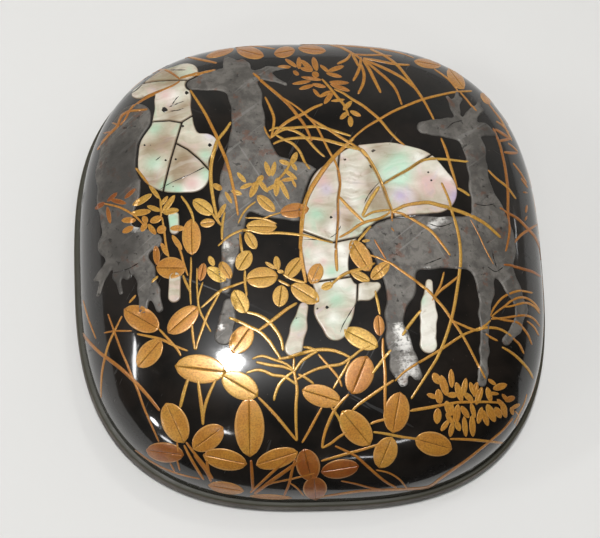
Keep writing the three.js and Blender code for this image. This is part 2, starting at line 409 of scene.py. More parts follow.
darkLead = rgb(0.045, 0.041, 0.036)
leadLook = {
    "colour": rgb(0.165, 0.152, 0.135), "clouded": (0.50, darkLead), "mottled": (0.50, darkLead),
    "scratched": (0.30, rgb(0.30, 0.29, 0.27)), "rusty": (0.48, rgb(0.15, 0.055, 0.026)),
    # painted shade: lead darkened where it faces away from the lamps
    "dim": (0.72, darkLead),
    # bright: pale rubbed lead, and painted glints of the lamps
    "bright": (1, rgb(0.66, 0.64, 0.60)), "pitted": (0.70, rgb(0.012, 0.009, 0.007)),
    "clouds": (210.0, 0.40, 0.60), "mottle": (650.0, 0.42, 0.62), "grain": (2000.0, 0.3, 0.7, 0.7),
    "pits": (1100.0, 0.64, 0.70, 0.5), "rust": (430.0, 0.585, 0.66, 0.7),
    "lines": [(1300.0, 0.9, 0.64), (1100.0, -0.5, 0.67)], "streaks": (1000.0, 1.45, 0.44),
    "rubbedGrain": 1.9, "rubbedStreaks": 0.30, "rubbedWear": (1.40, 2.10),
    "roughness": 0.46, "grainRoughness": 0.14, "wornRoughness": -0.16,
    "cloudHeight": 0.6, "grainHeight": 0.6, "bump": (0.6, 0.00008), "metallic": 0.30,
}


def makeLead(look):
    material, tree, shader, place = newMaterial("leadSheet")
    cloud, mottle = [placeGroup(tree, blotches, place, *look[key])["Mask"] for key in ("clouds", "mottle")]
    grain, pits, rust = [placeGroup(tree, fineGrain, place, *look[key]) for key in ("grain", "pits", "rust")]
    lines = crossedLines(tree, place, look["lines"])
    streaks = placeGroup(tree, hairLines, place, *look["streaks"])["Mask"]
    # the worn mask marks rubbed lead and painted glints
    rubbedAndGlints = maskOf(tree, "worn")
    uneven = summed(tree, rubbedAndGlints, (grain["Height"], look["rubbedGrain"]), (streaks, look["rubbedStreaks"]))
    worn = between(tree, uneven, *look["rubbedWear"])
    colour = layered(tree, look["colour"], (cloud, look["clouded"]), (mottle, look["mottled"]),
                     (lines, look["scratched"]), (rust["Mask"], look["rusty"]),
                     # the painted shade mask darkens lead that the lamps light less
                     (maskOf(tree, "dim"), look["dim"]),
                     (maths(tree, "MULTIPLY", worn, rubbedAndGlints), look["bright"]), (pits["Mask"], look["pitted"]))
    rough = summed(tree, look["roughness"], (grain["Mask"], look["grainRoughness"]),
                   (worn, look["wornRoughness"]))
    height = summed(tree, maths(tree, "MULTIPLY", cloud, look["cloudHeight"]), (pits["Mask"], -1),
                    (grain["Height"], look["grainHeight"]))
    finish(tree, shader, colour, rough, height, look["bump"], look["metallic"])
    return material


shellTints = {   # the tones of the shell, in the order in which they are laid
    # the pale shell tone is partly painted glints
    "grey": rgb(0.27, 0.265, 0.19), "tan": rgb(0.24, 0.165, 0.085), "white": rgb(0.85, 0.83, 0.76),
    "mint": rgb(0.36, 0.60, 0.43), "pink": rgb(0.64, 0.40, 0.37), "lilac": rgb(0.42, 0.33, 0.52),
}
shellLook = {
    "cream": rgb(0.42, 0.37, 0.27), "pale": rgb(0.62, 0.57, 0.46), "playful": 0.34,
    "bend": (110.0, 0.006), "layers": (150.0, 4.5, 4.0, 1.2, 0.6), "ribs": (230.0, 2.2, 3.0, 1.6, 0.55),
    "ribMiddle": -0.45, "ribStrength": 1.5, "sheen": (190.0, 2.0, 0.5, 1.4), "clouds": (240.0, 0.36, 0.62),
    "cloudShade": 0.70, "layerShade": 0.12, "tintLow": 0.55, "tintShade": 0.4,
    "lines": (420.0, 1.3, 0.56), "grain": (700.0, 0.735, 0.76, 0.4), "stains": (420.0, 0.58, 0.74),
    "streaked": (0.16, shellTints["white"]), "stained": (0.5, shellTints["tan"]),
    "pitted": (1, rgb(0.04, 0.025, 0.015)), "ribbed": (0.35, shellTints["tan"]),
    "side": (0.75, rgb(0.16, 0.10, 0.05)), "sideWidth": (0.03, 0.22),
    "roughness": 0.24, "layerRoughness": 0.08, "sideRoughness": 0.5,
    "layerHeight": 0.3, "pitHeight": -3.0, "ribHeight": 1.2, "bump": (0.35, 0.00005),
}


def makeShell(look):
    material, tree, shader, place = newMaterial("pearlShell")
    scale, reach = look["bend"]
    drift = vectorMaths(tree, "MULTIPLY", noise(tree, place, scale, 3.0), (reach,) * 3)
    bent = vectorMaths(tree, "ADD", place, drift)
    layers = bands(tree, bent, *look["layers"])
    sheen = noise(tree, bent, *look["sheen"])
    cloud = placeGroup(tree, blotches, bent, *look["clouds"])["Mask"]
    ribs = maths(tree, "MULTIPLY", summed(tree, look["ribMiddle"], (bands(tree, bent, *look["ribs"]), 1)),
                 look["ribStrength"])
    ribs = maths(tree, "MULTIPLY", ribs, maskOf(tree, "ribs"))
    shade = summed(tree, maths(tree, "MULTIPLY", cloud, look["cloudShade"]), (layers, look["layerShade"]))
    shade = maths(tree, "ADD", shade, ribs, True)
    play = ramp(tree, sheen, [(0.30, shellTints["mint"]), (0.42, look["pale"]), (0.52, look["cream"]),
                              (0.60, shellTints["pink"]), (0.70, shellTints["lilac"])])
    colour = mixColour(tree, look["playful"], mixColour(tree, shade, look["cream"], look["pale"]), play)
    tinting = summed(tree, look["tintLow"], (shade, look["tintShade"]))
    # the pale tone also lays painted glints on the shell
    for tint, tone in shellTints.items():
        colour = mixColour(tree, maths(tree, "MULTIPLY", maskOf(tree, tint), tinting, True), colour, tone)
    streaks = placeGroup(tree, hairLines, bent, *look["lines"])["Mask"]
    pits = placeGroup(tree, fineGrain, place, *look["grain"])["Mask"]
    stain = placeGroup(tree, blotches, place, *look["stains"])["Mask"]
    side = inverse(tree, between(tree, maskOf(tree, "fromEdge"), *look["sideWidth"]))
    colour = layered(tree, colour, (streaks, look["streaked"]), (stain, look["stained"]),
                     (pits, look["pitted"]),
                     (maths(tree, "ABSOLUTE", ribs), look["ribbed"]), (side, look["side"]))
    rough = summed(tree, look["roughness"], (layers, look["layerRoughness"]), (side, look["sideRoughness"]))
    height = summed(tree, sheen, (layers, look["layerHeight"]), (pits, look["pitHeight"]),
                    (ribs, look["ribHeight"]))
    finish(tree, shader, colour, rough, height, look["bump"])
    return material


bareGold = rgb(0.13, 0.055, 0.010)
goldLook = {
    "tones": [(0.0, rgb(0.25, 0.060, 0.008)), (0.3, rgb(0.43, 0.165, 0.022)),
              (0.45, rgb(0.53, 0.238, 0.034)), (0.6, rgb(0.52, 0.285, 0.044)),
              (1.0, rgb(0.72, 0.46, 0.095))],
    "thin": (0.50, bareGold), "coarse": (0.35, bareGold), "pale": (0.25, rgb(0.80, 0.50, 0.20)),
    "border": (0.7, rgb(0.085, 0.035, 0.010)), "powder": (3600.0, 0.32, 0.62, 0.75),
    "specks": (1500.0, 0.62, 0.74, 0.6), "clouds": (330.0,), "cloudTone": 0.12, "toneShift": -0.06,
    "rimFrom": (0.80, 0.95), "borderFrom": (0.72, 0.95), "roughness": 0.44, "powderRoughness": -0.14,
    "bump": (0.45, 0.00005), "metallic": 0.25, "gloss": 0.30, "glossRoughness": 0.17,
}


def makeGold(look):
    material, tree, shader, place = newMaterial("goldPowder")
    powder = placeGroup(tree, fineGrain, place, *look["powder"])
    coarse = placeGroup(tree, fineGrain, place, *look["specks"])["Mask"]
    cloud = placeGroup(tree, blotches, place, *look["clouds"])["Mask"]
    # the tone mask is the gold's own tone and, where low near the lower edge, painted shade
    tone = summed(tree, look["toneShift"], (maskOf(tree, "tone"), 1), (cloud, look["cloudTone"]))
    rim = between(tree, maskOf(tree, "rim"), *look["rimFrom"])
    border = between(tree, maths(tree, "MULTIPLY", maskOf(tree, "rim"), -1.0), *look["borderFrom"])
    colour = layered(tree, ramp(tree, tone, look["tones"]), (inverse(tree, powder["Mask"]), look["thin"]),
                     (coarse, look["coarse"]), (rim, look["pale"]), (border, look["border"]))
    rough = summed(tree, look["roughness"], (powder["Mask"], look["powderRoughness"]))
    finish(tree, shader, colour, rough, powder["Height"], look["bump"], look["metallic"])
    addCoat(shader, look["gloss"], look["glossRoughness"])
    return material


blackLacquer, brownBand, leadSheet = makeLacquer(lacquerLook), makeBand(bandLook), makeLead(leadLook)
pearlShell, goldPowder = makeShell(shellLook), makeGold(goldLook)
print("materials made")

lidSpec = {
    "around": 256,
    "wall": 2.2,
    "edge": [(-0.95, 3.4), (-0.35, 3.4), (-0.22, 3.42), (-0.1, 3.5), (-0.03, 3.6)],   # grow and height
    "firstStep": 0.0045, "lastStep": 0.985, "gather": 1.6,   # gather crowds the rings towards the edge
    "steps": 72, "innerSteps": 30,
    "chafed": [0.0, 1.0, 1.0, 1.0, 1.0, 0.9, 0.45, 0.1],     # pale rubbed wear and painted highlight on the rings from the edge up
}


def makeLid(spec):
    around = spec["around"]
    share = np.linspace(0, 1, spec["steps"]) ** spec["gather"]
    steps = spec["firstStep"] + (spec["lastStep"] - spec["firstStep"]) * share
    outer = [domeRing(step, 0.0, around) for step in steps]
    innerSteps = np.linspace(0, spec["lastStep"], spec["innerSteps"])
    inner = [domeRing(step, -spec["wall"], around) for step in innerSteps]
    edge = [flatRing(grow, z, around) for grow, z in spec["edge"]]
    rings = inner[::-1] + edge + outer
    points = list(np.concatenate(rings))
    faces = ringFaces(len(rings), around, closed=False)
    crownIn, crownOut = len(points), len(points) + 1
    points += [np.array([0, 0, dome["edgeZ"] + dome["rise"] - spec["wall"]]),
               np.array([0, 0, dome["edgeZ"] + dome["rise"]])]
    last = (len(rings) - 1) * around
    for j in range(around):
        k = (j + 1) % around
        faces.append((k, j, crownIn))
        faces.append((last + j, last + k, crownOut))
    edge = np.zeros(len(points))
    edge[len(inner) * around:(len(inner) + len(spec["chafed"])) * around] = np.repeat(spec["chafed"], around)
    return meshPiece("lidShell", points, faces, blackLacquer, ["lid"], {"edge": edge})


makeLid(lidSpec)
print("lid made")

bodySpec = {
    "around": 256,
    "foot": [(-0.9, 0.0), (-0.9, 0.5)],
    "band": (0.8, 0.5, 3.1, 0.4),      # stands proud by, from, to, and its rounding
    "corner": 5,                       # steps of each rounding
    "lip": [(-2.95, 3.1), (-2.95, 7.2), (-3.15, 7.4), (-4.05, 7.4), (-4.25, 7.2), (-4.25, 2.25),
            (-4.45, 1.8), (-4.9, 1.6)],
}


def makeBody(spec):
    around = spec["around"]
    proud, low, high, turn = spec["band"]
    bends = np.arange(spec["corner"] + 1) * math.pi / 2 / spec["corner"]
    profile = list(spec["foot"])
    profile += [(proud - turn + turn * math.sin(a), low + turn - turn * math.cos(a)) for a in bends]
    profile += [(proud - turn + turn * math.cos(a), high - turn + turn * math.sin(a)) for a in bends]
    profile += spec["lip"]
    rings = [flatRing(grow, z, around) for grow, z in profile]
    points = list(np.concatenate(rings))
    faces = ringFaces(len(rings), around, closed=False)
    under, floor = len(points), len(points) + 1
    points += [np.array([0, 0, 0.0]), np.array([0, 0, spec["lip"][-1][1]])]
    last = (len(rings) - 1) * around
    for j in range(around):
        k = (j + 1) % around
        faces.append((k, j, under))
        faces.append((last + j, last + k, floor))
    first = len(spec["foot"])
    border = np.zeros(len(profile))
    border[first:first + 3] = border[first + 9:first + 12] = 1.0   # painted shade on the rounded edges of the band, in the gap under the lid and along the floor
    inner = np.arange(len(profile)) >= first + 12
    masks = {"border": np.append(np.repeat(border, around), [0, 0]),
             "inside": np.append(np.repeat(inner.astype(float), around), [0, 1])}
    return meshPiece("bodyTray", points, faces, brownBand, ["body"], masks)


makeBody(bodySpec)
print("body made")


figures = {   # chains of joints (x, y, half width) in plan, mm; cuts are lines between shell pieces
    "standingDeer": {"nodes": "standing_deer_lead", "metal": True, "chains": [
        [12.4,-1.4,4.5, 17,-1.1,4.4, 22,-.9,4.3, 26.5,-.8,4.7, 28.6,-.8,4.3], [29,1.6,3.6, 28.3,5.4,2.6,
        27.3,9,1.85, 27,13,1.6, 26.8,16.4,1.8, 25.8,19.2,2.1], [25.8,19.6,2, 22.8,19.8,1.75, 20.2,19.7,1.3,
        18.3,19.6,1.2], [27.4,20.6,.7, 29,20.4,1.05, 30.8,19.8,.35], [26,21.4,.5, 26.8,22.6,.75,
        27.2,23.8,.3], [24.5,21.4,.5, 24.1,23.8,.42, 24.9,27.2,.3], [24.2,23.4,.4, 23,26,.28],
        [24.4,25,.35, 25.4,25.9,.25], [26.4,21.8,.45, 27.9,24,.4, 29.2,26.8,.3], [27.8,23.8,.35,
        29.2,24.4,.25], [9.6,1.2,.8, 8.1,.2,.75, 7.6,-1.6,.35], [12.2,-5,3.2, 12.6,-9,2.2, 11.2,-13.4,1.35,
        11.3,-17.6,1.5, 11.6,-22,1.3, 12.2,-24.4,.8], [12,-17,1.5, 13.3,-21,1.2, 14.6,-23.4,.8],
        [26.6,-4.4,2.2, 26.9,-9,1.25, 26.4,-13,.85, 26,-19,.65, 25.7,-22.4,.65, 25.4,-24,.8], [29.8,-4,2.1,
        31.8,-8,1.3, 33.2,-11,.95, 32,-14.6,.7, 30,-17,.75]]},
    "watchingDeer": {"nodes": "watching_deer_lead", "metal": True, "under": ["grazingDeer"], "chains": [
        [-11,10,5.2, -7.4,8.8,5.2, -3.9,8,5.3], [-10.9,14,4.2, -11.1,17.6,2.9, -11,21.6,2.5, -11.3,26,2.6,
        -12,28.6,2.5], [-12,28.9,2.5, -14.6,29.3,2.2, -17.4,29,1.6, -19.6,28.6,1.15], [-12.8,31.2,.6,
        -13.2,32.8,1, -13.8,34.4,.4], [-11,30.8,.6, -11,32.2,.8, -11.2,33.4,.35], [-10,30.2,.6, -7,31.2,.5,
        -4,31.6,.3], [-9.4,29.6,.6, -6.8,29.4,.5, -4.4,28,.3], [-14,6.4,2.6, -14.3,2.4,1.7, -14.9,-2,1.2,
        -15.8,-5.6,1, -16,-8.6,.85]]},
    "watchingShin": {"nodes": "watching_deer_shin", "metal": True, "chains": [
        [-15.5,-11.2,.95, -15.8,-13.6,1.1, -16.5,-16.4,1.55]]},
    "bowingDeer": {"nodes": "bowing_deer_lead", "metal": True, "under": ["alertDeer"], "chains": [
        [-29.8,23.4,2.9, -31.2,19.4,3.8, -32.2,14.4,3.7, -32.6,9.4,3.2, -33,5,2.5], [-33.6,1.4,2.5,
        -32,.6,2.9, -29.4,.6,2.1, -27.2,.4,1.35], [-34,-1.4,.6, -35.2,-3.6,.45, -36.2,-6.8,.3],
        [-34.8,-2.6,.4, -36.6,-4,.28], [-33,-2,.55, -33.2,-4.6,.45, -32.6,-7.6,.3], [-31.6,-1.6,.6,
        -31.4,-3.6,.85, -31.5,-5.2,.35], [-29.8,-1.6,1.5, -28.8,-4.6,1.3, -28.9,-7.6,.9, -29.2,-11,.7],
        [-28.6,-4.6,1.1, -27.4,-8,.75, -26.6,-11.2,.6]]},
    "grazingDeer": {"nodes": "grazing_deer_shell", "metal": False, "under": ["standingDeer"], "chains": [
        [18.9,8.3,4.2, 15.4,9.8,5.8, 12,9.8,6.6, 8.4,9,7, 4.8,7,6.4, 2.4,4.6,5.2], [1.8,2.4,4.8,
        .6,-1.6,3.8, .5,-5,3.3, 1.6,-9,3], [2.2,-9.8,3.1, 1.4,-12.6,3, 1.5,-15.8,1.9], [4.6,-10,1,
        6.8,-9.5,1.35, 8.6,-8.6,.7]],
        "cuts": [
        [4.2,18, 3.3,11.7, 3.5,9, 3,6.4, 2.9,3.2, 2.5,0, 2.2,-2], [5.8,17.4, 7.2,15.3, 8.6,13.4, 9.6,11.3,
        10.6,8.6, 11.3,6.1, 12.4,2.6], [10.6,9.1, 12.8,10.4, 15,11.7, 17.5,13.4, 22,16.4], [-5,1.8,
        -2.8,.8, 1.8,-1.1, 8,.2], [-4,-8.2, 6,-6.8], [4.8,-16, 5.6,-7]]},
    "grazingForeLeg": {"nodes": "grazing_deer_foreleg", "metal": False, "chains": [
        [-3.5,-12,.8, -4.4,-15.4,1.15, -5.4,-18.8,1.5]]},
    "grazingHindLeg": {"nodes": "grazing_deer_hindleg", "metal": False, "chains": [
        [17.3,-8,.6, 16.9,-11.6,.95, 16.9,-13.6,1.25, 16.7,-15.8,1.1, 16.6,-18.4,1.45]]},
    "alertDeer": {"nodes": "alert_deer_shell", "metal": False, "under": ["watchingDeer"], "chains": [
        [-24.4,16.6,4.7, -24.4,14,4.7, -22.5,13.4,4.6], [-22,15.6,3.4, -18.4,16.6,2.2], [-23.8,11.6,2.9,
        -20.7,11.1,2.8], [-23.5,19.4,3.7, -23.4,22.4,2.9, -23.2,26,2.75, -23,28.8,2.4], [-21,31.6,2.3,
        -24,30.8,2.2, -28.2,28.8,1.6]],
        "cuts": [
        [-28.6,22, -23.9,21.7, -22.1,21.1, -19.6,22.6], [-21.9,21.2, -22.9,18, -24,14.4, -25.1,10.2,
        -25.8,7], [-22.9,17.2, -21.2,16, -19.3,14, -18,12.3, -15.6,9.6], [-29,31, -18,29.2]]},
    "alertKnee": {"nodes": "alert_deer_knee", "metal": False, "chains": [
        [-23.9,4.4,.9, -23.8,2,.8]]},
    "alertHoof": {"nodes": "alert_deer_hoof", "metal": False, "chains": [
        [-24,-6.2,.95, -24.2,-9.4,1]]},
}
for figure in figures.values():
    figure["chains"] = [np.reshape(chain, (-1, 3)) for chain in figure["chains"]]
    figure["cuts"] = [np.reshape(line, (-1, 2)) for line in figure.get("cuts", [])]

plateSpec = {
    "cell": 0.16,      # mm between grid points
    "blend": 1.1,      # softness of the joins between limbs
    "proud": 0.22,
    "edge": 0.24,      # width of the rounded edge
    "sunk": 0.2,
    "gap": 0.3,        # between two plates
    "cut": 0.1,        # half of the line between shell pieces
    "margin": 1.5,     # round the limbs, for the grid
}
pixelsPerMm = 5.88     # about the picture's scale on the lid


def limbDistance(x, y, a, b):
    ax, ay, ra = a
    bx, by, rb = b[0] - ax, b[1] - ay, b[2]
    px, py = x - ax, y - ay
    h = bx * bx + by * by
    qx, qy = np.abs(px * by - py * bx) / h, (px * bx + py * by) / h
    lean = ra - rb
    cx = math.sqrt(max(h - lean * lean, 1e-9))
    k, m, n = cx * qy - lean * qx, cx * qx + lean * qy, qx * qx + qy * qy
    return np.where(k < 0, np.sqrt(h * n) - ra,
                    np.where(k > cx, np.sqrt(np.maximum(h * (n + 1 - 2 * qy), 0)) - rb, m - ra))


def softUnion(a, b, blend):
    share = np.clip(0.5 + 0.5 * (b - a) / blend, 0, 1)
    return b * (1 - share) + a * share - blend * share * (1 - share)


def wholeFigure(name, x, y):
    field = np.full(np.shape(x), 99.0)
    for chain in figures[name]["chains"]:
        for a, b in zip(chain, chain[1:]):
            field = softUnion(field, limbDistance(x, y, a, b), plateSpec["blend"])
    return field


def plateField(name, x, y):   # below 0 inside the plates of a figure
    field = wholeFigure(name, x, y)
    for above in figures[name].get("under", []):
        field = np.maximum(field, plateSpec["gap"] - wholeFigure(above, x, y))
    width = plateSpec["cut"]
    for cut in figures[name]["cuts"]:
        for a, b in zip(cut, cut[1:]):
            field = np.maximum(field, -limbDistance(x, y, (*a, width), (*b, width)))
    return field


def plateLift(field):   # height over the lacquer at a field value
    across = np.clip(-field / plateSpec["edge"], 0, 1)
    return plateSpec["proud"] * np.sqrt(1 - (1 - across) ** 2)


def clippedCells(field):   # cuts a grid of squares along the field's zero line
    inside = field < 0
    rows, columns = field.shape
    ids, places, faces = {}, [], []

    def vertex(key, place):
        if key not in ids:
            ids[key] = len(places)
            places.append(place)
        return ids[key]

    anyIn = inside[:-1, :-1] | inside[1:, :-1] | inside[:-1, 1:] | inside[1:, 1:]
    for i, j in zip(*np.nonzero(anyIn)):
        corners = [(i, j), (i, j + 1), (i + 1, j + 1), (i + 1, j)]
        face, crossings = [], []
        for a, b in zip(corners, corners[1:] + corners[:1]):
            if inside[a]:
                face.append(vertex(a, a))
            if inside[a] != inside[b]:
                share = field[a] / (field[a] - field[b])
                place = (a[0] + (b[0] - a[0]) * share, a[1] + (b[1] - a[1]) * share)
                face.append(vertex((min(a, b), max(a, b)), place))
        # two corners that only touch stay apart
        if len(face) == 6 and inside[corners[0]] == inside[corners[2]]:
            if inside[corners[0]]:
                face = face[-1:] + face[:-1]
            faces += [face[:3], face[3:]]
        elif len(face) >= 3:
            faces.append(face)
    return np.array(places, float), faces


def joinedParts(count, faces):   # groups faces that touch
    owner = list(range(count))

    def root(v):
        while owner[v] != v:
            owner[v] = owner[owner[v]]
            v = owner[v]
        return v

    for face in faces:
        for v in face[1:]:
            owner[root(v)] = root(face[0])
    parts = {}
    for face in faces:
        parts.setdefault(root(face[0]), []).append(face)
    return sorted(parts.values(), key=len, reverse=True)


tintSpots = {   # where shell and lead change tone, or take painted shade and painted glints: pixels x and y, and reach in pixels
    "grey": [290,340,7, 168,72,12, 156,80,12, 144,90,10, 140,78,8, 176,88,7, 345,302,8, 352,306,6,
        350,214,8, 356,228,8, 324,226,6, 385,206,7, 372,200,6, 155,150,6, 176,176,6, 378,146,7,
        291,352,5, 425,296,5],
    "mint": [156,129,7, 154,164,8, 207,175,7, 206,156,6, 165,186,6, 178,190,6, 388,174,12, 400,162,12,
        402,178,10, 171,222,9, 316,214,9, 168,262,8, 332,272,6, 296,322,8, 336,300,9, 420,300,6,
        176,64,9],
    "pink": [426,184,11, 447,186,8, 322,180,8, 318,200,7, 166,96,7, 311,246,4, 323,262,3.5, 192,184,8,
        318,330,6],
    "lilac": [455,198,8, 212,134,6, 400,196,8, 326,190,6],
    "tan": [170,70,12, 150,78,11, 173,82,10, 164,77,10, 158,73,9, 162,82,8, 146,84,8, 165,187,6,
        180,180,6, 195,173,6, 208,167,6, 374,170,8, 378,186,9, 376,206,9, 165,142,11, 150,150,9,
        184,158,12, 178,172,10, 186,108,8, 172,116,9, 152,180,8, 376,195,10, 372,180,8,
        384,208,7, 378,150,9, 392,152,8, 348,222,8, 420,200,8, 325,222,6],
    # pale shell, partly painted glints
    "white": [172,97,9, 157,166,5, 210,137,7, 198,184,9, 186,192,6, 352,172,8, 350,188,8, 354,202,6,
        333,228,8, 341,248,7, 318,256,10, 345,262,8, 340,284,8, 358,294,8, 334,318,7, 427,315,20,
        427,335,14, 325,280,7, 440,172,7, 448,180,6, 418,158,6],
    "ribs": [352,166,9, 352,180,9, 351,194,9, 350,208,8, 350,222,7, 322,205,7],
    # painted shade on the lead of the bowing deer and the standing deer's neck
    "dim": [122,148,20, 116,176,20, 112,200,18, 120,240,20, 118,280,16, 128,166,16, 126,246,12,
        486,130,8, 484,160,13, 492,186,9],
    # worn: rubbed lead, and painted glints where a lamp shines on it
    "worn": [404,342,11, 409,368,13, 397,388,8, 398,328,7, 440,217,8, 432,226,6, 221,327,4, 136,226,7,
        428,272,6, 458,272,5, 226,246,5, 232,262,5, 216,178,4, 150,205,5, 418,136,4],
}


def tintMasks(points, tints):
    masks = {}
    for tint in tints:
        spots = np.reshape(tintSpots[tint], (-1, 3)).astype(float)
        places, reach = seenOnLid(spots[:, :2]), spots[:, 2] / pixelsPerMm
        away = np.linalg.norm(points[:, None] - places[None], axis=2) / reach
        masks[tint] = np.clip(np.exp(-away ** 2).sum(1), 0, 1)
    return masks


def platePiece(name, plan, faces, field, material, node):
    used = sorted({v for face in faces for v in face})
    index = {v: i for i, v in enumerate(used)}
    x, y = plan[used, 0], plan[used, 1]
    base = np.stack([x, y, domeHeight(x, y)], 1)
    out = domeNormal(base)
    top = base + out * plateLift(field[used])[:, None]
    bottom = base - out * plateSpec["sunk"]
    count = len(used)
    topFaces = [[index[v] for v in face] for face in faces]
    borders = {(a, b): True for face in topFaces for a, b in zip(face, face[1:] + face[:1])}
    sides = [(b, a, a + count, b + count) for a, b in borders if (b, a) not in borders]
    under = [[v + count for v in reversed(face)] for face in topFaces]
    edge = np.concatenate([-field[used], np.zeros(count)])
    points = np.concatenate([top, bottom])
    masks = tintMasks(points, ["worn", "dim"] if material == leadSheet else [*shellTints, "ribs"])
    masks["fromEdge"] = edge
    return meshPiece(name, points, topFaces + sides + under, material, [node], masks)


def makeFigure(name):
    spec = figures[name]
    joints = np.concatenate(spec["chains"])
    cell, margin = plateSpec["cell"], plateSpec["margin"]
    low = (joints[:, :2] - joints[:, 2:]).min(0) - margin
    high = (joints[:, :2] + joints[:, 2:]).max(0) + margin
    ys, xs = np.arange(low[1], high[1], cell), np.arange(low[0], high[0], cell)
    gridX, gridY = np.meshgrid(xs, ys)
    places, faces = clippedCells(plateField(name, gridX, gridY))
    plan = np.stack([low[0] + places[:, 1] * cell, low[1] + places[:, 0] * cell], 1)
    field = np.minimum(plateField(name, plan[:, 0], plan[:, 1]), 0)
    nodes = sorted(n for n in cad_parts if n.startswith(spec["nodes"]))
    centres = {n: np.array(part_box(n)[0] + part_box(n)[1])[:2] / 2 / mm for n in nodes}
    material, slot = (leadSheet, "lead_sheet") if spec["metal"] else (pearlShell, "pearl_shell")
    parts = joinedParts(len(plan), faces)
    for part in parts[:len(nodes)]:
        corners = plan[sorted({v for face in part for v in face})]
        middle = (corners.min(0) + corners.max(0)) / 2
        node = min(centres, key=lambda n: np.linalg.norm(centres[n] - middle))
        offset = np.linalg.norm(centres.pop(node) - middle)
        words = node.split("_")
        piece = words[0] + "".join(w.capitalize() for w in words[1:])
        platePiece(piece, plan, part, field, material, node)
        print("plate", piece, "faces", len(part), "off", round(float(offset), 2))
    print(name, "parts", len(parts), "nodes", len(nodes))


for figure in figures:
    makeFigure(figure)
print("plates made")


leafSpec = {
    "height": 0.035,       # mm that the gold stands over what it lies on
    "veinFrom": 8.5,       # width in pixels from which a leaf has a bare midrib
    "vein": 0.3,           # width of the midrib, pixels
    "rows": 15,
    "round": 0.6,          # power of the outline: lower is blunter
    "thinnest": 0.03,      # share of the width left at the ends
    "across": [0.0, 0.12, 0.45, 0.75, 0.92, 1.0],
    "profile": [0.6, 1.0, 1.0, 1.0, 0.9, 0.1],
}
stemSpec = {
    "height": 0.05, "spacing": 2.2,
    "least": 0.62, "swell": 0.38, "blunt": 0.7,   # width at the ends, what the middle adds, and its power
    "tips": (0.6, 0.4),    # how much narrower the first and last points are
    "across": [-1.0, -0.6, 0.0, 0.6, 1.0], "profile": [0.1, 0.8, 1.0, 0.8, 0.1],
}

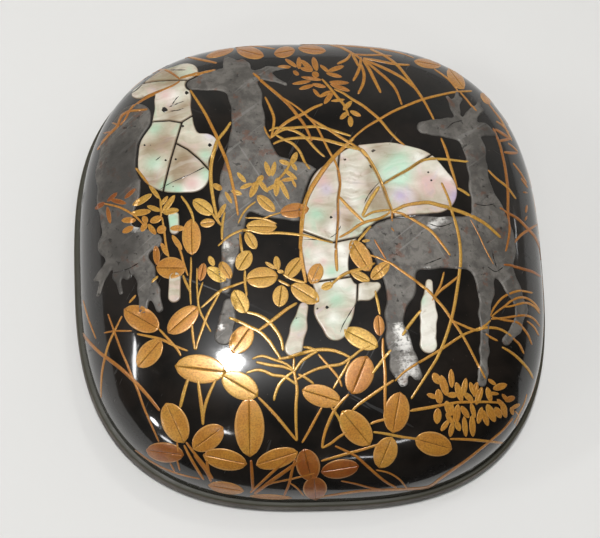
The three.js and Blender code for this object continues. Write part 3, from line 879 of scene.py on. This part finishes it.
leafGroups = {   # base x and y, tip x and y and width of each leaf, in pixels of the picture, and its tone, kept low as painted shade near the lower edge
    "goldFarLeaves": [
        206,57,234,49,7,.3, 236,49,264,56,12,.3, 274,54,295,50,11,.3, 298,48,326,51,9,.3,
        441,66,414,61,9,.35, 464,89,448,68,13,.4, 481,93,490,104,7,.35],
    "goldFarSpray": [
        291,67,277,67,4,.3, 297,67,285,59,4,.3, 299,69,299,57,5,.3, 293,71,299,75,4,.3, 313,71,301,60,5,.3,
        317,71,313,57,6,.3, 313,71,300,68,4,.3, 319,76,312,73,6,.3, 329,72,320,65,3.5,.3,
        328,71,344,66,4.5,.3, 326,73,342,77,4,.3, 322,80,301,77,3.5,.3, 311,81,292,84,3.5,.3,
        314,85,299,89,4,.3, 312,84,326,87,4,.3, 329,82,349,83,4,.3, 330,84,350,91,4.5,.3,
        331,91,319,97,4,.4, 333,92,324,104,5,.4, 313,89,320,97,3.5,.35, 331,101,345,99.5,3,.45,
        343,110,352,101,5,.5, 348,112,340,119,5,.5, 350,111,361,116,4.5,.5, 350,116,351,127,5.5,.5],
    "goldLeftSprigs": [
        160,199,149,185,4.5,.6, 152,194,133,206,6.5,.6, 151,211,131,214,6.5,.55, 161,211,147,206,5,.6,
        160,206,168,196,4,.6, 162,213,175,195,6,.6, 163,213,179,210,7,.6, 136,220,122,221,6,.4,
        134,227,123,233,6,.4, 150,222,162,217,7,.45, 146,222,142,232,6,.45, 148,224,156,235,5.5,.45,
        147,223,143,216,6,.45, 166,227,157,232,8,.45, 170,229,185,228,6,.45, 172,235,182,250,5.5,.45,
        161,243,168,256,5,.45, 157,265,156,246,7,.3, 127,204,111,200,5,.1, 108,207,111,224,4.5,.15,
        106,203,95,209,5,0, 108,202,118,193,4,0, 125,199,136,189,4,.1],
    "goldMiddleSprigs": [
        213,214,193,200,14,.75, 200,224,215,222,9,.6, 222,190,213,184,6,.6, 217,219,226,204,5,.65,
        225,192,232,204,4,.6, 231,191,242,195,5,.7, 246,183,237,173,4.5,.75, 252,184,240,189,4.5,.7,
        258,181,250,198,7,.65, 257,183,263,176,6,.65, 258,180,268,193,5,.65, 270,177,265,162,5.5,.7,
        272,177,275,162,5,.7, 266,191,276,185,4,.65, 277,178,276,197,6.5,.65, 279,180,289,200,5,.7,
        275,212,257,196,11,.6, 246,226,277,227,14,.6, 246,232,256,249,11,.65, 238,270,250,251,16,.7,
        290,165,279,161,5,.65, 291,165,297,152,6,.65, 291,163,297,171,4,.6, 284,170,297,180,4.5,.6,
        295,179,281,181,4,.6, 292,180,296,188,3,.6, 280,213,309,209,15,.3, 278,270,276,256,7,.65,
        276,269,265,262,4,.65, 277,271,284,272,4,.65, 286,278,301,258,14,.6, 311,284,320,264,15,.5,
        246,279,278,276,21,.6, 279,307,282,285,16,.6, 291,285,319,302,18,.6, 321,289,333,284,8,.75,
        246,313,234,290,17,.8, 370,271,351,240,19,.5, 362,241,370,241,3,.6, 371,279,389,263,13,.55,
        351,272,370,281,9,.6, 200,281,204,263,9,.3, 226,281,207,268,13,.9, 231,279,220,262,11,.5,
        214,266,209,256,6,.8, 344,330,378,347,20,.8, 380,336,378,315,11,.3],
    "goldNearLeaves": [
        192,255,191,219,19,.45, 156,268,186,268,22,.4, 159,329,124,309,24,.35, 198,307,168,333,21,.4,
        161,340,138,367,21,.45, 226,372,175,366,29,.5, 232,353,251,326,22,.5, 352,394,367,356,28,.3,
        302,390,341,402,22,.45, 258,396,222,375,26,.6, 250,457,249,397,30,.45, 193,449,223,427,24,.4,
        # the lowest tones here are painted shade on gold near the lower edge
        203,455,247,464,21,.4, 298,452,256,465,20,.38, 304,449,312,481,24,.08, 184,443,166,403,26,.45,
        184,455,146,450,20,.1, 342,411,370,445,27,.45, 393,433,400,392,26,.4, 392,437,379,468,23,.45,
        415,439,452,449,24,.4, 321,472,359,466,19,.03, 314,477,316,500,24,.05, 208,485,244,491,12,.3,
        250,496,292,498,5,.3],
    "goldFern": [
        440,384,433,373,8,.45, 447,396,441,375,8,.45, 452,388,451,369,6,.45, 440,404,438,389,8,.45,
        437,398,427,394,5,.45, 447,395,458,395,6,.45, 438,408,437,424,8,.45, 446,401,452,416,8,.45,
        462,402,456,382,7,.45, 463,396,466,378,6,.45, 464,393,473,401,6,.45, 475,396,470,382,5.5,.45,
        474,397,477,382,5.5,.45, 476,405,482,387,6.5,.45, 491,402,487,387,6,.45, 488,393,499,394,3.5,.45,
        493,389,507,384.5,7,.4, 496,385,488,379,4,.4, 505,401,515,397,6,.3, 509,402,502,394,4,.3,
        507,410,497,399,5,.4, 502,403,506,418,6,.4, 511,409,520,404,4,.4, 511,407,513,415,4,.4,
        487,404,495,422,8,.45, 495,407,501,418,7,.45, 482,407,478,424,6,.45, 483,410,488,426,6,.45,
        471,403,475,418,5,.45, 461,406,469,418,6,.45, 458,404,456,424,7,.45, 453,424,446,413,5,.45,
        449,420,441,431,5.5,.45, 453,422,450,437,5.5,.45, 456,421,460,431,6,.45, 464,416,466,437,5.5,.45,
        472,415,473,437,6.5,.45],
}

stemGroups = {   # width in pixels and tone of each stem, the tone kept low as painted shade near the lower edge, then the pixels that it runs through
    "goldLeftStems": [
        [3, .3, 148,110, 139,111, 130,112, 123,116, 120,122, 118,127, 111,134, 103,143, 97,150],
        [2.5, .3, 180,82, 172,87, 160,92, 148,97, 138,103, 131,110, 127,118, 121,126],
        [2, .3, 112,123, 117,125, 120,127], [2, .25, 103,133, 110,133, 115,131],
        [2.5, .3, 150,70, 163,70, 172,74, 180,80], [3, .35, 180,79, 195,75, 206,72, 216,70],
        [2.5, .3, 184,56, 198,59, 217,63],
        [3.5, .45, 190,90, 198,102, 206,115, 212,127, 216,135, 219,143, 225,157, 229,170, 233,187, 236,202,
         238,216],
        [4, .65, 231,122, 225,131, 218,140, 214,152, 211,166, 211,182, 213,198, 216,213, 219,224],
        [3, .5, 136,168, 142,176, 149,185], [2.5, .55, 160,198, 161,207, 161,217],
        [2.5, .4, 105,204, 118,207, 127,211, 136,217, 144,225], [3, .7, 181,196, 187,204, 192,214, 194,224],
        [2.5, .5, 162,217, 164,230, 166,245, 169,258], [2.5, .5, 174,238, 180,250, 184,264, 188,276],
        [3, .6, 158,276, 152,283], [2.5, .6, 191,257, 191,270, 190,287, 191,305],
        [3, .6, 183,275, 186,283, 191,293], [2, .6, 197,268, 197,285, 198,306], [2.5, .5, 136,295, 129,303],
        [2.5, .4, 122,316, 115,330, 109,343, 105,357, 102,372, 101,386, 101,398],
        [2.5, .3, 108,314, 113,328, 121,350, 127,364, 132,377, 138,391, 144,408, 151,424, 159,442],
        [2, .3, 104,333, 115,331, 132,331], [1.8, .35, 83,300, 88,318, 96,339],
        [4, .25, 82,333, 90,343, 100,353, 107,358, 120,368, 130,377, 139,386, 148,396, 160,411],
        [3, .5, 159,329, 170,341, 177,349, 181,356], [3, .5, 137,334, 152,337, 163,340, 175,346, 188,351],
        [3, .6, 192,324, 193,337, 195,350],
        [2.5, .65, 203,282, 200,291, 198,300, 200,311, 205,321, 211,332],
        [3, .6, 247,281, 238,284, 228,288, 219,292, 211,299, 201,308],
        [3, .6, 220,292, 214,303, 207,316, 202,330, 198,341, 196,350]],
    "goldFarStems": [
        [3.5, .35, 253,74, 265,84, 277,94, 288,104, 297,115, 305,126, 312,141],
        [2.5, .45, 283,98, 294,105, 304,113, 316,126, 322,137, 328,149, 333,158, 338,170, 340,185, 338,200,
         338,218, 337,236, 336,249], [3.5, .5, 336,247, 336,258, 337,272],
        [3, .5, 265,97, 270,107, 274,118, 273,129, 271,138], [2.5, .5, 264,127, 267,134, 271,139],
        [3.5, .5, 271,138, 277,131, 283,125, 292,119, 303,114, 313,108, 323,104],
        [3, .6, 269,131, 276,128, 290,128, 305,127, 320,127, 335,131, 351,136],
        [3, .6, 272,137, 279,132, 287,129, 297,132, 306,138, 314,147, 320,153, 325,157],
        [3, .6, 276,135, 285,140, 293,144, 300,152, 305,163, 310,170],
        [3.5, .6, 273,144, 283,140, 297,138, 311,138, 325,140, 340,144, 352,148, 362,151, 369,160, 376,172,
         383,187, 388,201, 392,211], [3, .5, 306,116, 316,122, 328,129, 340,137, 352,144, 362,151],
        [2.8, .45, 472,91, 455,92, 440,95, 424,99, 408,105, 392,112, 380,119, 365,128, 350,141, 345,146],
        [5, .5, 354,138, 339,152, 328,164, 318,178, 309,193, 304,207, 302,221, 301,236, 300,250],
        [4, .5, 301,246, 301,256, 303,268, 306,283], [3, .5, 322,79, 330,88, 338,98, 344,105, 349,116],
        [3, .5, 334,89, 343,93, 352,99, 362,105, 371,112, 380,120, 390,132, 398,140, 405,146],
        [2.5, .4, 330,45, 340,47, 350,52, 358,57, 363,61], [3, .4, 351,53, 347,59, 337,64],
        [3, .4, 352,54, 356,61, 359,67], [2, .35, 353,54, 366,55, 380,55, 392,56],
        [3.5, .4, 361,57, 360,66, 357,74, 353,81], [3.5, .4, 361,64, 364,74, 363,84, 358,94],
        [3.5, .4, 363,60, 369,69, 374,79, 381,93], [3, .4, 363,59, 375,69, 388,80, 396,90, 402,105],
        [3, .4, 363,59, 377,65, 392,72, 404,79, 416,89], [2.5, .4, 363,58, 380,61, 395,64, 410,65],
        [3, .45, 370,49, 385,56, 397,65, 407,77, 416,89, 424,101, 430,112, 434,120],
        [3, .45, 441,138, 446,150, 450,164, 454,177, 457,188],
        [1.6, .35, 300,44, 325,44, 350,46, 380,49, 400,53, 414,58], [1.6, .35, 235,47, 255,46, 275,49],
        [2, .4, 434,69, 443,75, 450,81, 458,91], [2, .4, 460,92, 467,100, 476,112],
        [3, .7, 384,184, 395,177, 408,170, 422,161, 437,159, 452,160, 468,162],
        [2, .35, 488,103, 495,112, 501,120, 507,131, 512,141], [3, .2, 495,129, 503,134, 509,138],
        [3, .2, 498,141, 505,140, 512,138], [3, .2, 504,152, 511,153, 518,153],
        [2, .3, 508,143, 513,147, 518,152], [2, .3, 496,121, 503,126, 509,133],
        [3, .2, 493,128, 499,142, 503,157, 506,173, 508,192, 508,212, 509,226, 508,238, 505,252],
        [2.5, .5, 488,170, 497,179, 507,187, 516,199], [2, .3, 513,163, 520,172, 527,184],
        [2, .3, 521,178, 528,188], [2.5, .2, 527,205, 526,213], [2.5, .2, 527,216, 525,221],
        [2, .2, 523,192, 528,193]],
    "goldMiddleStems": [
        [2.2, .65, 256,202, 249,207, 243,214, 238,224], [2, .6, 245,218, 257,218, 268,220, 277,224],
        [2, .6, 262,219, 271,216, 281,213], [3, .65, 212,213, 217,220, 222,226],
        [3, .7, 222,240, 222,231, 223,221, 225,212],
        [3, .65, 218,246, 226,239, 236,233, 248,230, 262,233, 280,233, 300,235, 316,239, 333,243],
        [3, .6, 240,234, 241,245, 243,256], [3, .6, 245,270, 245,283, 247,296],
        [3, .6, 292,160, 288,168, 283,175, 277,181], [2.5, .6, 250,186, 258,182],
        [3.5, .5, 339,197, 347,206, 356,215, 364,223],
        [3, .5, 339,238, 350,232, 358,226, 367,222, 379,219, 390,213], [3, .65, 358,241, 364,234, 371,226],
        [4, .75, 379,187, 373,196, 367,206, 362,217], [2.5, .6, 363,218, 372,213, 382,211, 391,210],
        [4, .6, 388,213, 396,210, 405,206, 416,204, 428,203, 440,206, 452,209, 464,213, 476,219, 487,226,
         500,238], [3, .5, 391,212, 401,214, 411,219, 421,225, 430,231, 439,241, 450,256],
        [3.5, .6, 441,183, 446,194, 450,205, 454,219, 458,235, 460,251, 460,265, 459,276, 457,290, 454,308,
         450,324, 444,342, 437,358, 429,371, 420,385, 411,399], [2.5, .4, 392,212, 392,222],
        [2, .4, 391,228, 394,232], [2, .2, 374,240, 380,250, 386,260],
        [3, .5, 370,255, 380,259, 391,264, 401,271, 411,278, 421,285, 432,295, 443,307, 452,320, 461,333,
         470,349, 478,365, 485,379], [2.5, .5, 444,272, 441,284, 437,292, 432,301],
        [3, .45, 459,276, 449,284, 440,291, 433,299], [3, .7, 375,291, 378,304, 380,315],
        [3.5, .4, 383,338, 383,352, 385,372, 385,395, 385,418], [3, .6, 457,188, 463,191, 470,196],
        [1.2, .4, 470,220, 478,235, 485,250, 493,265],
        [3, .2, 499,208, 508,213, 518,219, 528,229, 535,237, 540,248, 542,260],
        [3, .2, 538,224, 530,229, 521,235, 514,243], [3, .1, 503,265, 512,266, 523,269, 533,272, 541,277],
        [3, .6, 278,280, 290,286], [3, .6, 283,274, 292,279, 306,283],
        [4, .6, 297,303, 287,309, 278,316, 269,323, 258,331],
        [4, .7, 246,312, 258,315, 268,321, 275,329, 281,339, 283,351],
        [4, .65, 229,318, 240,322, 250,327, 260,332, 269,341, 275,350, 281,359],
        [4, .6, 278,359, 290,357, 303,353, 316,350, 330,350, 341,353, 351,358],
        [3, .6, 303,347, 310,348, 317,351], [3, .65, 252,359, 262,356, 275,360, 286,364, 295,371],
        [3.5, .65, 256,362, 270,365, 284,367, 294,371],
        [3.5, .55, 294,358, 294,371, 297,388, 296,405, 296,423, 297,441],
        [3.5, .65, 294,372, 301,362, 309,356, 318,351],
        [3.5, .6, 296,380, 306,374, 317,369, 329,366, 341,364, 352,357, 361,350, 370,346],
        [3, .6, 298,374, 306,378, 314,384], [3.5, .75, 294,371, 286,377, 279,385, 275,395, 274,401],
        [3.5, .7, 246,373, 256,370, 264,371, 273,375, 285,377, 297,385],
        [3, .5, 318,354, 326,363, 333,371, 339,379, 342,387], [3, .6, 350,359, 345,369, 339,379, 333,389],
        [3.5, .7, 372,374, 378,366, 385,357, 391,350], [3.5, .7, 402,336, 408,327, 414,319, 421,310],
        [3.5, .6, 330,286, 339,278, 350,272, 364,268, 375,263]],
    "goldNearStems": [
        [4, .6, 188,379, 184,392, 180,408], [4, .55, 198,380, 200,395, 202,410, 203,425],
        [3.5, .6, 216,379, 208,397, 204,411, 203,425], [2, .4, 177,442, 178,452], [2, .2, 177,460, 180,471],
        [2, .2, 170,463, 175,472], [3, .3, 184,445, 190,457, 197,469, 204,480],
        [3, .3, 186,442, 195,454, 204,465, 213,479], [3.5, .25, 207,460, 208,470, 211,482],
        [3, .2, 194,455, 200,463, 206,471, 211,481], [2, .3, 135,450, 150,461, 165,469, 182,475, 200,479],
        [3.5, .15, 251,460, 252,474, 253,491], [3.5, .5, 258,397, 268,407, 278,418, 287,429, 297,441],
        [3, .45, 322,407, 316,418, 309,431, 302,443], [3, .2, 295,459, 292,471, 289,484, 284,496],
        [3, .25, 291,457, 276,469, 262,482, 250,493], [4, .2, 301,460, 287,470, 270,482, 254,494],
        [2, .3, 315,473, 300,477, 287,480, 273,483, 262,487], [2, .3, 290,483, 297,488, 304,496],
        [3.5, .5, 349,394, 341,402, 334,411, 328,424, 324,436, 322,448],
        [3, .5, 322,448, 330,444, 339,437, 347,432],
        [3, .45, 321,461, 332,458, 346,454, 361,450, 374,446, 382,444],
        [3, .25, 335,446, 346,451, 357,457, 366,465, 376,474, 386,482, 397,488],
        [2, .3, 376,470, 389,473, 399,479, 405,486, 409,491], [2, .2, 341,481, 356,484, 371,488, 386,490],
        [3, .3, 320,497, 340,494, 362,491, 385,490, 408,489, 428,487, 440,479, 454,469, 468,459, 483,447,
         494,438, 504,429, 513,418], [3.5, .5, 394,380, 382,388, 369,397, 358,405, 352,411],
        [3, .5, 370,424, 378,421, 388,419], [3, .55, 373,432, 387,434, 402,437, 418,439],
        [3, .5, 410,411, 428,408, 444,405], [3, .55, 331,407, 337,415, 342,425, 347,433],
        [3, .45, 450,439, 468,439.5, 485,441, 503,443],
        [3, .45, 411,410, 430,407, 445,404.5, 458,402.5, 472,402, 488,402, 503,403],
        [2, .45, 452,402, 454,412, 453,424],
        [3, .5, 395,381, 403,373, 413,366, 425,359, 440,350, 452,342, 463,335, 475,330, 484,326, 491,320],
        [3, .5, 453,321, 462,325, 475,330, 485,328, 495,328, 504,331, 511,337],
        [2.5, .4, 490,316, 494,308, 501,299, 509,294, 520,291, 533,293],
        [2.5, .4, 491,317, 498,311, 505,306, 511,301, 518,298, 526,298, 534,303, 540,311],
        [2.5, .4, 505,307, 512,306, 519,304, 527,303, 535,307, 540,314],
        [2.5, .35, 491,319, 504,318, 517,316, 528,316, 535,320, 540,327],
        [2.5, .35, 492,317, 504,320, 515,322, 522,327, 528,335, 532,345],
        [2, .35, 527,321, 534,327, 539,336], [2.5, .35, 512,338, 519,344, 524,354],
        [2.5, .4, 485,334, 492,338, 498,341], [3, .55, 502,347, 512,353, 522,362, 530,372, 533,379],
        [1.6, .4, 527,394, 524,404, 519,414, 514,424], [1.6, .4, 515,411, 519,417, 516,426]],
}


inwardMoves = (14, 0.6)   # how often, and by how many pixels, a point off the lid moves in


def onLidFromPicture(pixels):   # the lid's points behind some pixels
    pixels = np.array(pixels, float)
    points = seenOnLid(pixels)
    for _ in range(inwardMoves[0]):
        off = np.isnan(points[:, 0])
        if not off.any():
            break
        inward = np.array(viewSpec["middle"]) - pixels[off]
        pixels[off] += inward / np.linalg.norm(inward, axis=1, keepdims=True) * inwardMoves[1]
        points[off] = seenOnLid(pixels[off])
    return points


def reliefUnder(points):   # height of the inlaid plates under some points
    lift = np.zeros(len(points))
    for name in figures:
        lift = np.maximum(lift, plateLift(plateField(name, points[:, 0], points[:, 1])))
    return lift


def bentLine(points, spacing):   # a smooth line through some points, with about this spacing
    ends = np.array([points[0], *points, points[-1]], float)
    line = []
    for a, b, c, d in zip(ends, ends[1:], ends[2:], ends[3:]):
        count = max(2, int(round(np.linalg.norm(c - b) / spacing)))
        t = (np.arange(count) / count)[:, None]
        line.append(0.5 * (2 * b + (c - a) * t + (2 * a - 5 * b + 4 * c - d) * t ** 2
                           + (3 * b - a - 3 * c + d) * t ** 3))
    return np.concatenate(line + [ends[-1:]])


def leafGrids(leaf):   # two grids of pixels, each from the midrib to the rim
    base, tip, width, tone = leaf[:2], leaf[2:4], leaf[4], leaf[5]
    along = (tip - base) / np.linalg.norm(tip - base)
    side = np.array([-along[1], along[0]])
    u = np.linspace(0.0, 1.0, leafSpec["rows"])
    half = width / 2 * np.maximum((4 * u * (1 - u)) ** leafSpec["round"], leafSpec["thinnest"])
    gap = leafSpec["vein"] / 2 * np.clip((1 - u) * 6, 0, 1) * np.clip(u * 8, 0, 1)
    gap = np.minimum(gap, half * 0.5) if width >= leafSpec["veinFrom"] else 0 * u
    spine = base + (tip - base) * u[:, None]
    across = np.array(leafSpec["across"])
    reach = gap[:, None] + (half - gap)[:, None] * across
    return [(spine[:, None] + turn * reach[:, :, None] * side, turn, tone, across) for turn in (1, -1)]


def ribbonGrid(line, half, tone):   # a grid of pixels along a line, with half its width at each point
    run = np.gradient(line, axis=0)
    run /= np.linalg.norm(run, axis=1, keepdims=True)
    side = np.stack([-run[:, 1], run[:, 0]], 1)
    across = np.array(stemSpec["across"])
    return line[:, None] + (half[:, None] * across)[:, :, None] * side[:, None], -1, tone, across


def stemGrid(stem):
    line = bentLine(np.reshape(stem[2:], (-1, 2)), stemSpec["spacing"])
    swell = stemSpec["swell"] * np.sin(math.pi * np.linspace(0, 1, len(line))) ** stemSpec["blunt"]
    half = stem[0] / 2 * (stemSpec["least"] + swell)
    half[0] *= stemSpec["tips"][0]
    half[-1] *= stemSpec["tips"][1]
    return ribbonGrid(line, half, stem[1])


flankSpec = {   # plain grass round the hidden sides of the lid, in millimetres and degrees from +X
    "tufts": {-2: 6.8, 24: 8.2, 52: 9.6, 80: 9.6, 106: 9.0},   # turn and height
    "blades": [(-19, 0.62, True), (-12, 0.95, False), (-4, 0.7, True), (7, 1.0, False), (15, 0.8, True),
               (22, 0.5, False)],   # lean, share of the height, and whether it has a leaf
    "low": 4.2, "reach": 40.0, "points": 6, "bow": 1.4,
    "stem": 2.2, "leaf": 11.0, "leafLong": 4.2, "tone": 0.22,
}


def flankPlants(spec):   # stems and leaves like those of the picture, in its pixels
    stems, leaves = [], []
    for turn, top in spec["tufts"].items():
        start, tall = math.radians(turn) * spec["reach"], top - spec["low"]
        for lean, share, leafed in spec["blades"]:
            t = np.linspace(0, 1, spec["points"])[:, None]
            height = spec["low"] + tall * share * np.sin(t * spec["bow"])
            path = np.hstack([start + lean * t, height]) * pixelsPerMm
            stems.append([spec["stem"], spec["tone"], *path.ravel()])
            if leafed:
                run = (path[-1] - path[-2]) / np.linalg.norm(path[-1] - path[-2])
                tip = path[-1] + run * spec["leafLong"] * pixelsPerMm
                leaves.append([*path[-1], *tip, spec["leaf"], spec["tone"]])
    return stems, leaves


def onFlank(flat):   # the lid's points at some places along its side and heights
    turn, z = flat[:, 0] / pixelsPerMm / flankSpec["reach"], flat[:, 1] / pixelsPerMm
    angle = np.arcsin(np.clip((z - dome["edgeZ"]) / dome["rise"], 0, 1) ** (dome["crownPower"] / 2))
    c, s = np.cos(turn), np.sin(turn)
    far = np.cos(angle) ** (2 / dome["flankPower"]) / planReach(c, s, squarenessAt(angle * 2 / math.pi))
    return np.stack([c * far, s * far, z], 1)


def stripFaces(rows, columns):   # a raised strip: its top, two low sides, its underside and both ends
    size, last, faces = rows * columns, (rows - 1) * columns, []
    for i in range(rows - 1):
        near, far = i * columns, (i + 1) * columns
        faces += [(near + j, near + j + 1, far + j + 1, far + j) for j in range(columns - 1)]
        a, b = size + 2 * i, size + 2 * i + 2
        faces += [(near, far, b, a), (far - 1, a + 1, b + 1, far + columns - 1), (a, b, b + 1, a + 1)]
    faces.append((*range(columns - 1, -1, -1), size, size + 1))
    faces.append((*range(last, last + columns), size + 2 * rows - 1, size + 2 * rows - 2))
    return faces


goldRoot = 0.1   # mm that the sides of the gold reach into the lacquer


# A rim above 0 is drawn pale, one below 0 as a dark border.
def layPiece(name, grids, spec, rimSign, placed=onLidFromPicture, material=goldPowder):
    base = placed(np.concatenate([grid[0].reshape(-1, 2) for grid in grids]))
    out, under = domeNormal(base), reliefUnder(base)
    points, faces, rims, tones = [], [], [], []
    start, count = 0, 0
    for grid, turn, tone, across in grids:
        rows, columns = grid.shape[:2]
        size = rows * columns
        part, normal, lift = base[start:start + size], out[start:start + size], under[start:start + size]
        start += size
        top = part + normal * (np.tile(spec["profile"], rows) * spec["height"] + lift)[:, None]
        ends = (np.arange(rows)[:, None] * columns + np.array([0, columns - 1])).ravel()
        points += [top, (part + normal * (lift - goldRoot)[:, None])[ends]]
        rims += [np.tile(rimSign * np.abs(across), rows), np.full(len(ends), rimSign)]
        tones.append(np.full(size + len(ends), tone))
        made = stripFaces(rows, columns)
        faces += [tuple(count + v for v in (face if turn < 0 else face[::-1])) for face in made]
        count += size + len(ends)
    masks = {"rim": np.concatenate(rims), "tone": np.concatenate(tones)}
    return meshPiece(name, np.concatenate(points), faces, material, (), masks)


def layLeaves(name, numbers, placed=onLidFromPicture):
    grids = [grid for leaf in np.reshape(numbers, (-1, 6)).astype(float) for grid in leafGrids(leaf)]
    layPiece(name, grids, leafSpec, 1.0, placed)


def layStems(name, stems, placed=onLidFromPicture):
    layPiece(name, [stemGrid(stem) for stem in stems], stemSpec, -1.0, placed)


for group, numbers in leafGroups.items():
    layLeaves(group, numbers)
for group, stems in stemGroups.items():
    layStems(group, stems)
sideStems, sideLeaves = flankPlants(flankSpec)
layStems("goldSideStems", sideStems, onFlank)
layLeaves("goldSideLeaves", sideLeaves, onFlank)
print("gold laid")

crackSpec = {"width": 1.1, "spacing": 1.6, "height": 0.02, "profile": [0.3, 1.0, 1.0, 1.0, 0.3]}
crackLines = [   # pixels that each crack runs through
    [160,190, 168,185, 176,181, 190,175, 204,168, 212,165],
    [168,64, 161,69, 155,75, 147,81, 138,90, 128,97], [141,76, 152,76], [171,71, 186,71],
    [169,108, 176,105, 184,102], [170,112, 178,111, 184,109], [172,106, 176,100, 179,97],
    [156,161, 161,157], [303,240, 314,240, 324,241, 335,244], [355,305, 350,313, 343,325, 340,333],
    [364,204, 368,196, 374,188, 379,183], [330,238, 336,234, 341,226], [424,265, 432,262, 442,258],
    [491,250, 493,259, 496,268], [487,267, 495,272, 503,267], [113,273, 120,272, 129,269, 140,263],
    [129,269, 132,278, 136,290], [428,224, 440,227, 452,223], [474,204, 484,206, 494,204],
    [446,130, 452,124, 462,121]]
crackPits = [   # pixel and width of each small pit
    428,173,2.2, 431,181,2.2, 327,308,3.6, 145,146,2.2, 165,111,6, 187,94,4, 331,218,3, 222,150,3,
    229,110,2.4, 176,160,2.4, 166,161,2.4, 183,127,3, 210,146,4]


def crackGrid(path, width):
    line = bentLine(np.reshape(path, (-1, 2)), crackSpec["spacing"])
    share = np.linspace(0, 1, len(line))
    wander = 0.75 + 0.25 * np.sin(17 * share + len(line))
    half = width / 2 * wander * np.minimum(1, np.minimum(share, 1 - share) * 5 + 0.15)
    return ribbonGrid(line, half, 0.0)


cracks = [crackGrid(line, crackSpec["width"]) for line in crackLines]
for x, y, width in np.reshape(crackPits, (-1, 3)):
    cracks.append(crackGrid([x - width / 2, y, x, y - width * 0.1, x + width / 2, y], width))
layPiece("cracksAndPits", cracks, crackSpec, -1.0, material=blackLacquer)
print("cracks made")


floorSpec = {
    "half": 1.6, "tones": [rgb(0.635, 0.63, 0.615), rgb(0.675, 0.67, 0.655)], "scale": 6.0, "roughness": 0.9,
}
sheetSpec = {   # metres; the edge is the one towards the box
    "edge": [(-1.5, -0.035), (-0.084, -0.035), (-0.078, -0.053), (-0.04, -0.055), (-0.013, -0.050),
             (0.016, -0.0465), (0.032, -0.0475), (0.046, -0.042), (0.052, -0.031), (0.43, -0.064),
             (1.5, -0.15)],
    "far": -1.5, "lift": 0.0005,
    "tones": [rgb(0.010, 0.010, 0.010), rgb(0.016, 0.016, 0.015)], "scale": 8.0, "roughness": 0.9,
}


def addFlat(name, paint, corners, faces, spec):
    mesh = bpy.data.meshes.new(name)
    mesh.from_pydata(corners, [], faces)
    material, tree, shader, place = newMaterial(paint)
    colour = mixColour(tree, noise(tree, place, spec["scale"]), *spec["tones"])
    finish(tree, shader, colour, spec["roughness"])
    mesh.materials.append(material)
    piece = bpy.data.objects.new(name, mesh)
    scene.collection.objects.link(piece)
    return piece


def makeFloor(spec):
    half = spec["half"]
    corners = [(-half, -half, 0), (half, -half, 0), (half, half, 0), (-half, half, 0)]
    floor = addFlat("floor", "paleFloor", corners, [(0, 1, 2, 3)], spec)


def makeSheet(spec):   # a dark sheet in front, which only the gloss of the lid sees
    edge, lift = spec["edge"], spec["lift"]
    corners = [(x, y, lift) for x, y in edge] + [(x, spec["far"], lift) for x, y in edge[::-1]]
    last = len(corners) - 1
    faces = [(i, last - i, last - i - 1, i + 1) for i in range(len(edge) - 1)]
    sheet = addFlat("darkSheet", "darkCloth", corners, faces, spec)
    sheet.visible_camera = sheet.visible_diffuse = sheet.visible_shadow = False


makeFloor(floorSpec)
makeSheet(sheetSpec)

# name, azimuth from +Y clockwise, elevation, distance and size across and up in m, roll in degrees, watts,
# whether it is seen in gloss
lampSpecs = [
    ("softTop", 40, 76, 1.3, 1.2, 1.2, 0, 4.2, False),
    ("softRight", 95, 45, 1.3, 0.9, 0.9, 0, 0.9, False),
    ("softLeft", -95, 50, 1.3, 0.9, 0.9, 0, 0.7, False),
    ("mainLamp", -97, 84, 1.0, 0.13, 0.11, 0, 6.6, True),
    ("leftLamp", -93, 33, 1.0, 0.34, 0.05, -38, 1.2, True),
    ("nearLeftLamp", -126, 18, 1.0, 0.10, 0.09, 0, 0.7, True),
    ("lowLeftLamp", -137, 8, 1.0, 0.13, 0.06, 0, 0.4, True),
    ("nearLamp", -161, 48, 1.0, 0.09, 0.05, 0, 0.3, True),
    ("nearRightLamp", 159, 38, 1.0, 0.12, 0.03, 0, 0.15, True),
    ("lowNearLamp", 169, 24, 1.0, 0.10, 0.03, 0, 0.10, True),
    ("farLamp", 35, 62, 1.0, 0.06, 0.06, 0, 0.5, True),
    ("rightLamp", 70, 11, 1.0, 0.04, 0.015, 0, 0.02, True),
]


def makeLamps(specs):
    for name, azimuth, elevation, distance, across, high, roll, watts, glossy in specs:
        data = bpy.data.lights.new(name, "AREA")
        data.shape, data.size, data.size_y, data.energy = "ELLIPSE", across, high, watts
        a, e = math.radians(azimuth), math.radians(elevation)
        toward = Vector((math.sin(a) * math.cos(e), math.cos(a) * math.cos(e), math.sin(e)))
        lamp = bpy.data.objects.new(name, data)
        facing = toward.to_track_quat("Z", "Y").to_matrix().to_4x4()
        turn = Matrix.Rotation(math.radians(roll), 4, "Z")
        lamp.matrix_world = Matrix.Translation(toward * distance) @ facing @ turn
        lamp.visible_glossy = glossy
        scene.collection.objects.link(lamp)


roomSpec = {
    "dark": 0.02, "bright": 0.40, "colour": rgb(1.0, 0.99, 0.95),
    "highest": 0.88, "lowest": 0.55, "depths": (0.0, 0.6),   # between which the brightness changes
}


def makeRoom(spec):   # a dim room, brighter low on the far side
    world = bpy.data.worlds.new("room")
    world.use_nodes = True
    tree = world.node_tree
    toward = tree.nodes.new("ShaderNodeTexCoord").outputs["Generated"]
    parts = addNode(tree, "ShaderNodeSeparateXYZ", None, {"Vector": toward}).outputs
    low = between(tree, maths(tree, "MULTIPLY", parts["Z"], -1.0), -spec["highest"], -spec["lowest"])
    share = maths(tree, "MULTIPLY", low, between(tree, parts["Y"], *spec["depths"]))
    light = summed(tree, spec["dark"], (share, spec["bright"] - spec["dark"]))
    tree.links.new(light, tree.nodes["Background"].inputs["Strength"])
    tree.nodes["Background"].inputs["Color"].default_value = spec["colour"]
    scene.world = world


makeRoom(roomSpec)
makeLamps(lampSpecs)
print("stage, room and lamps made")
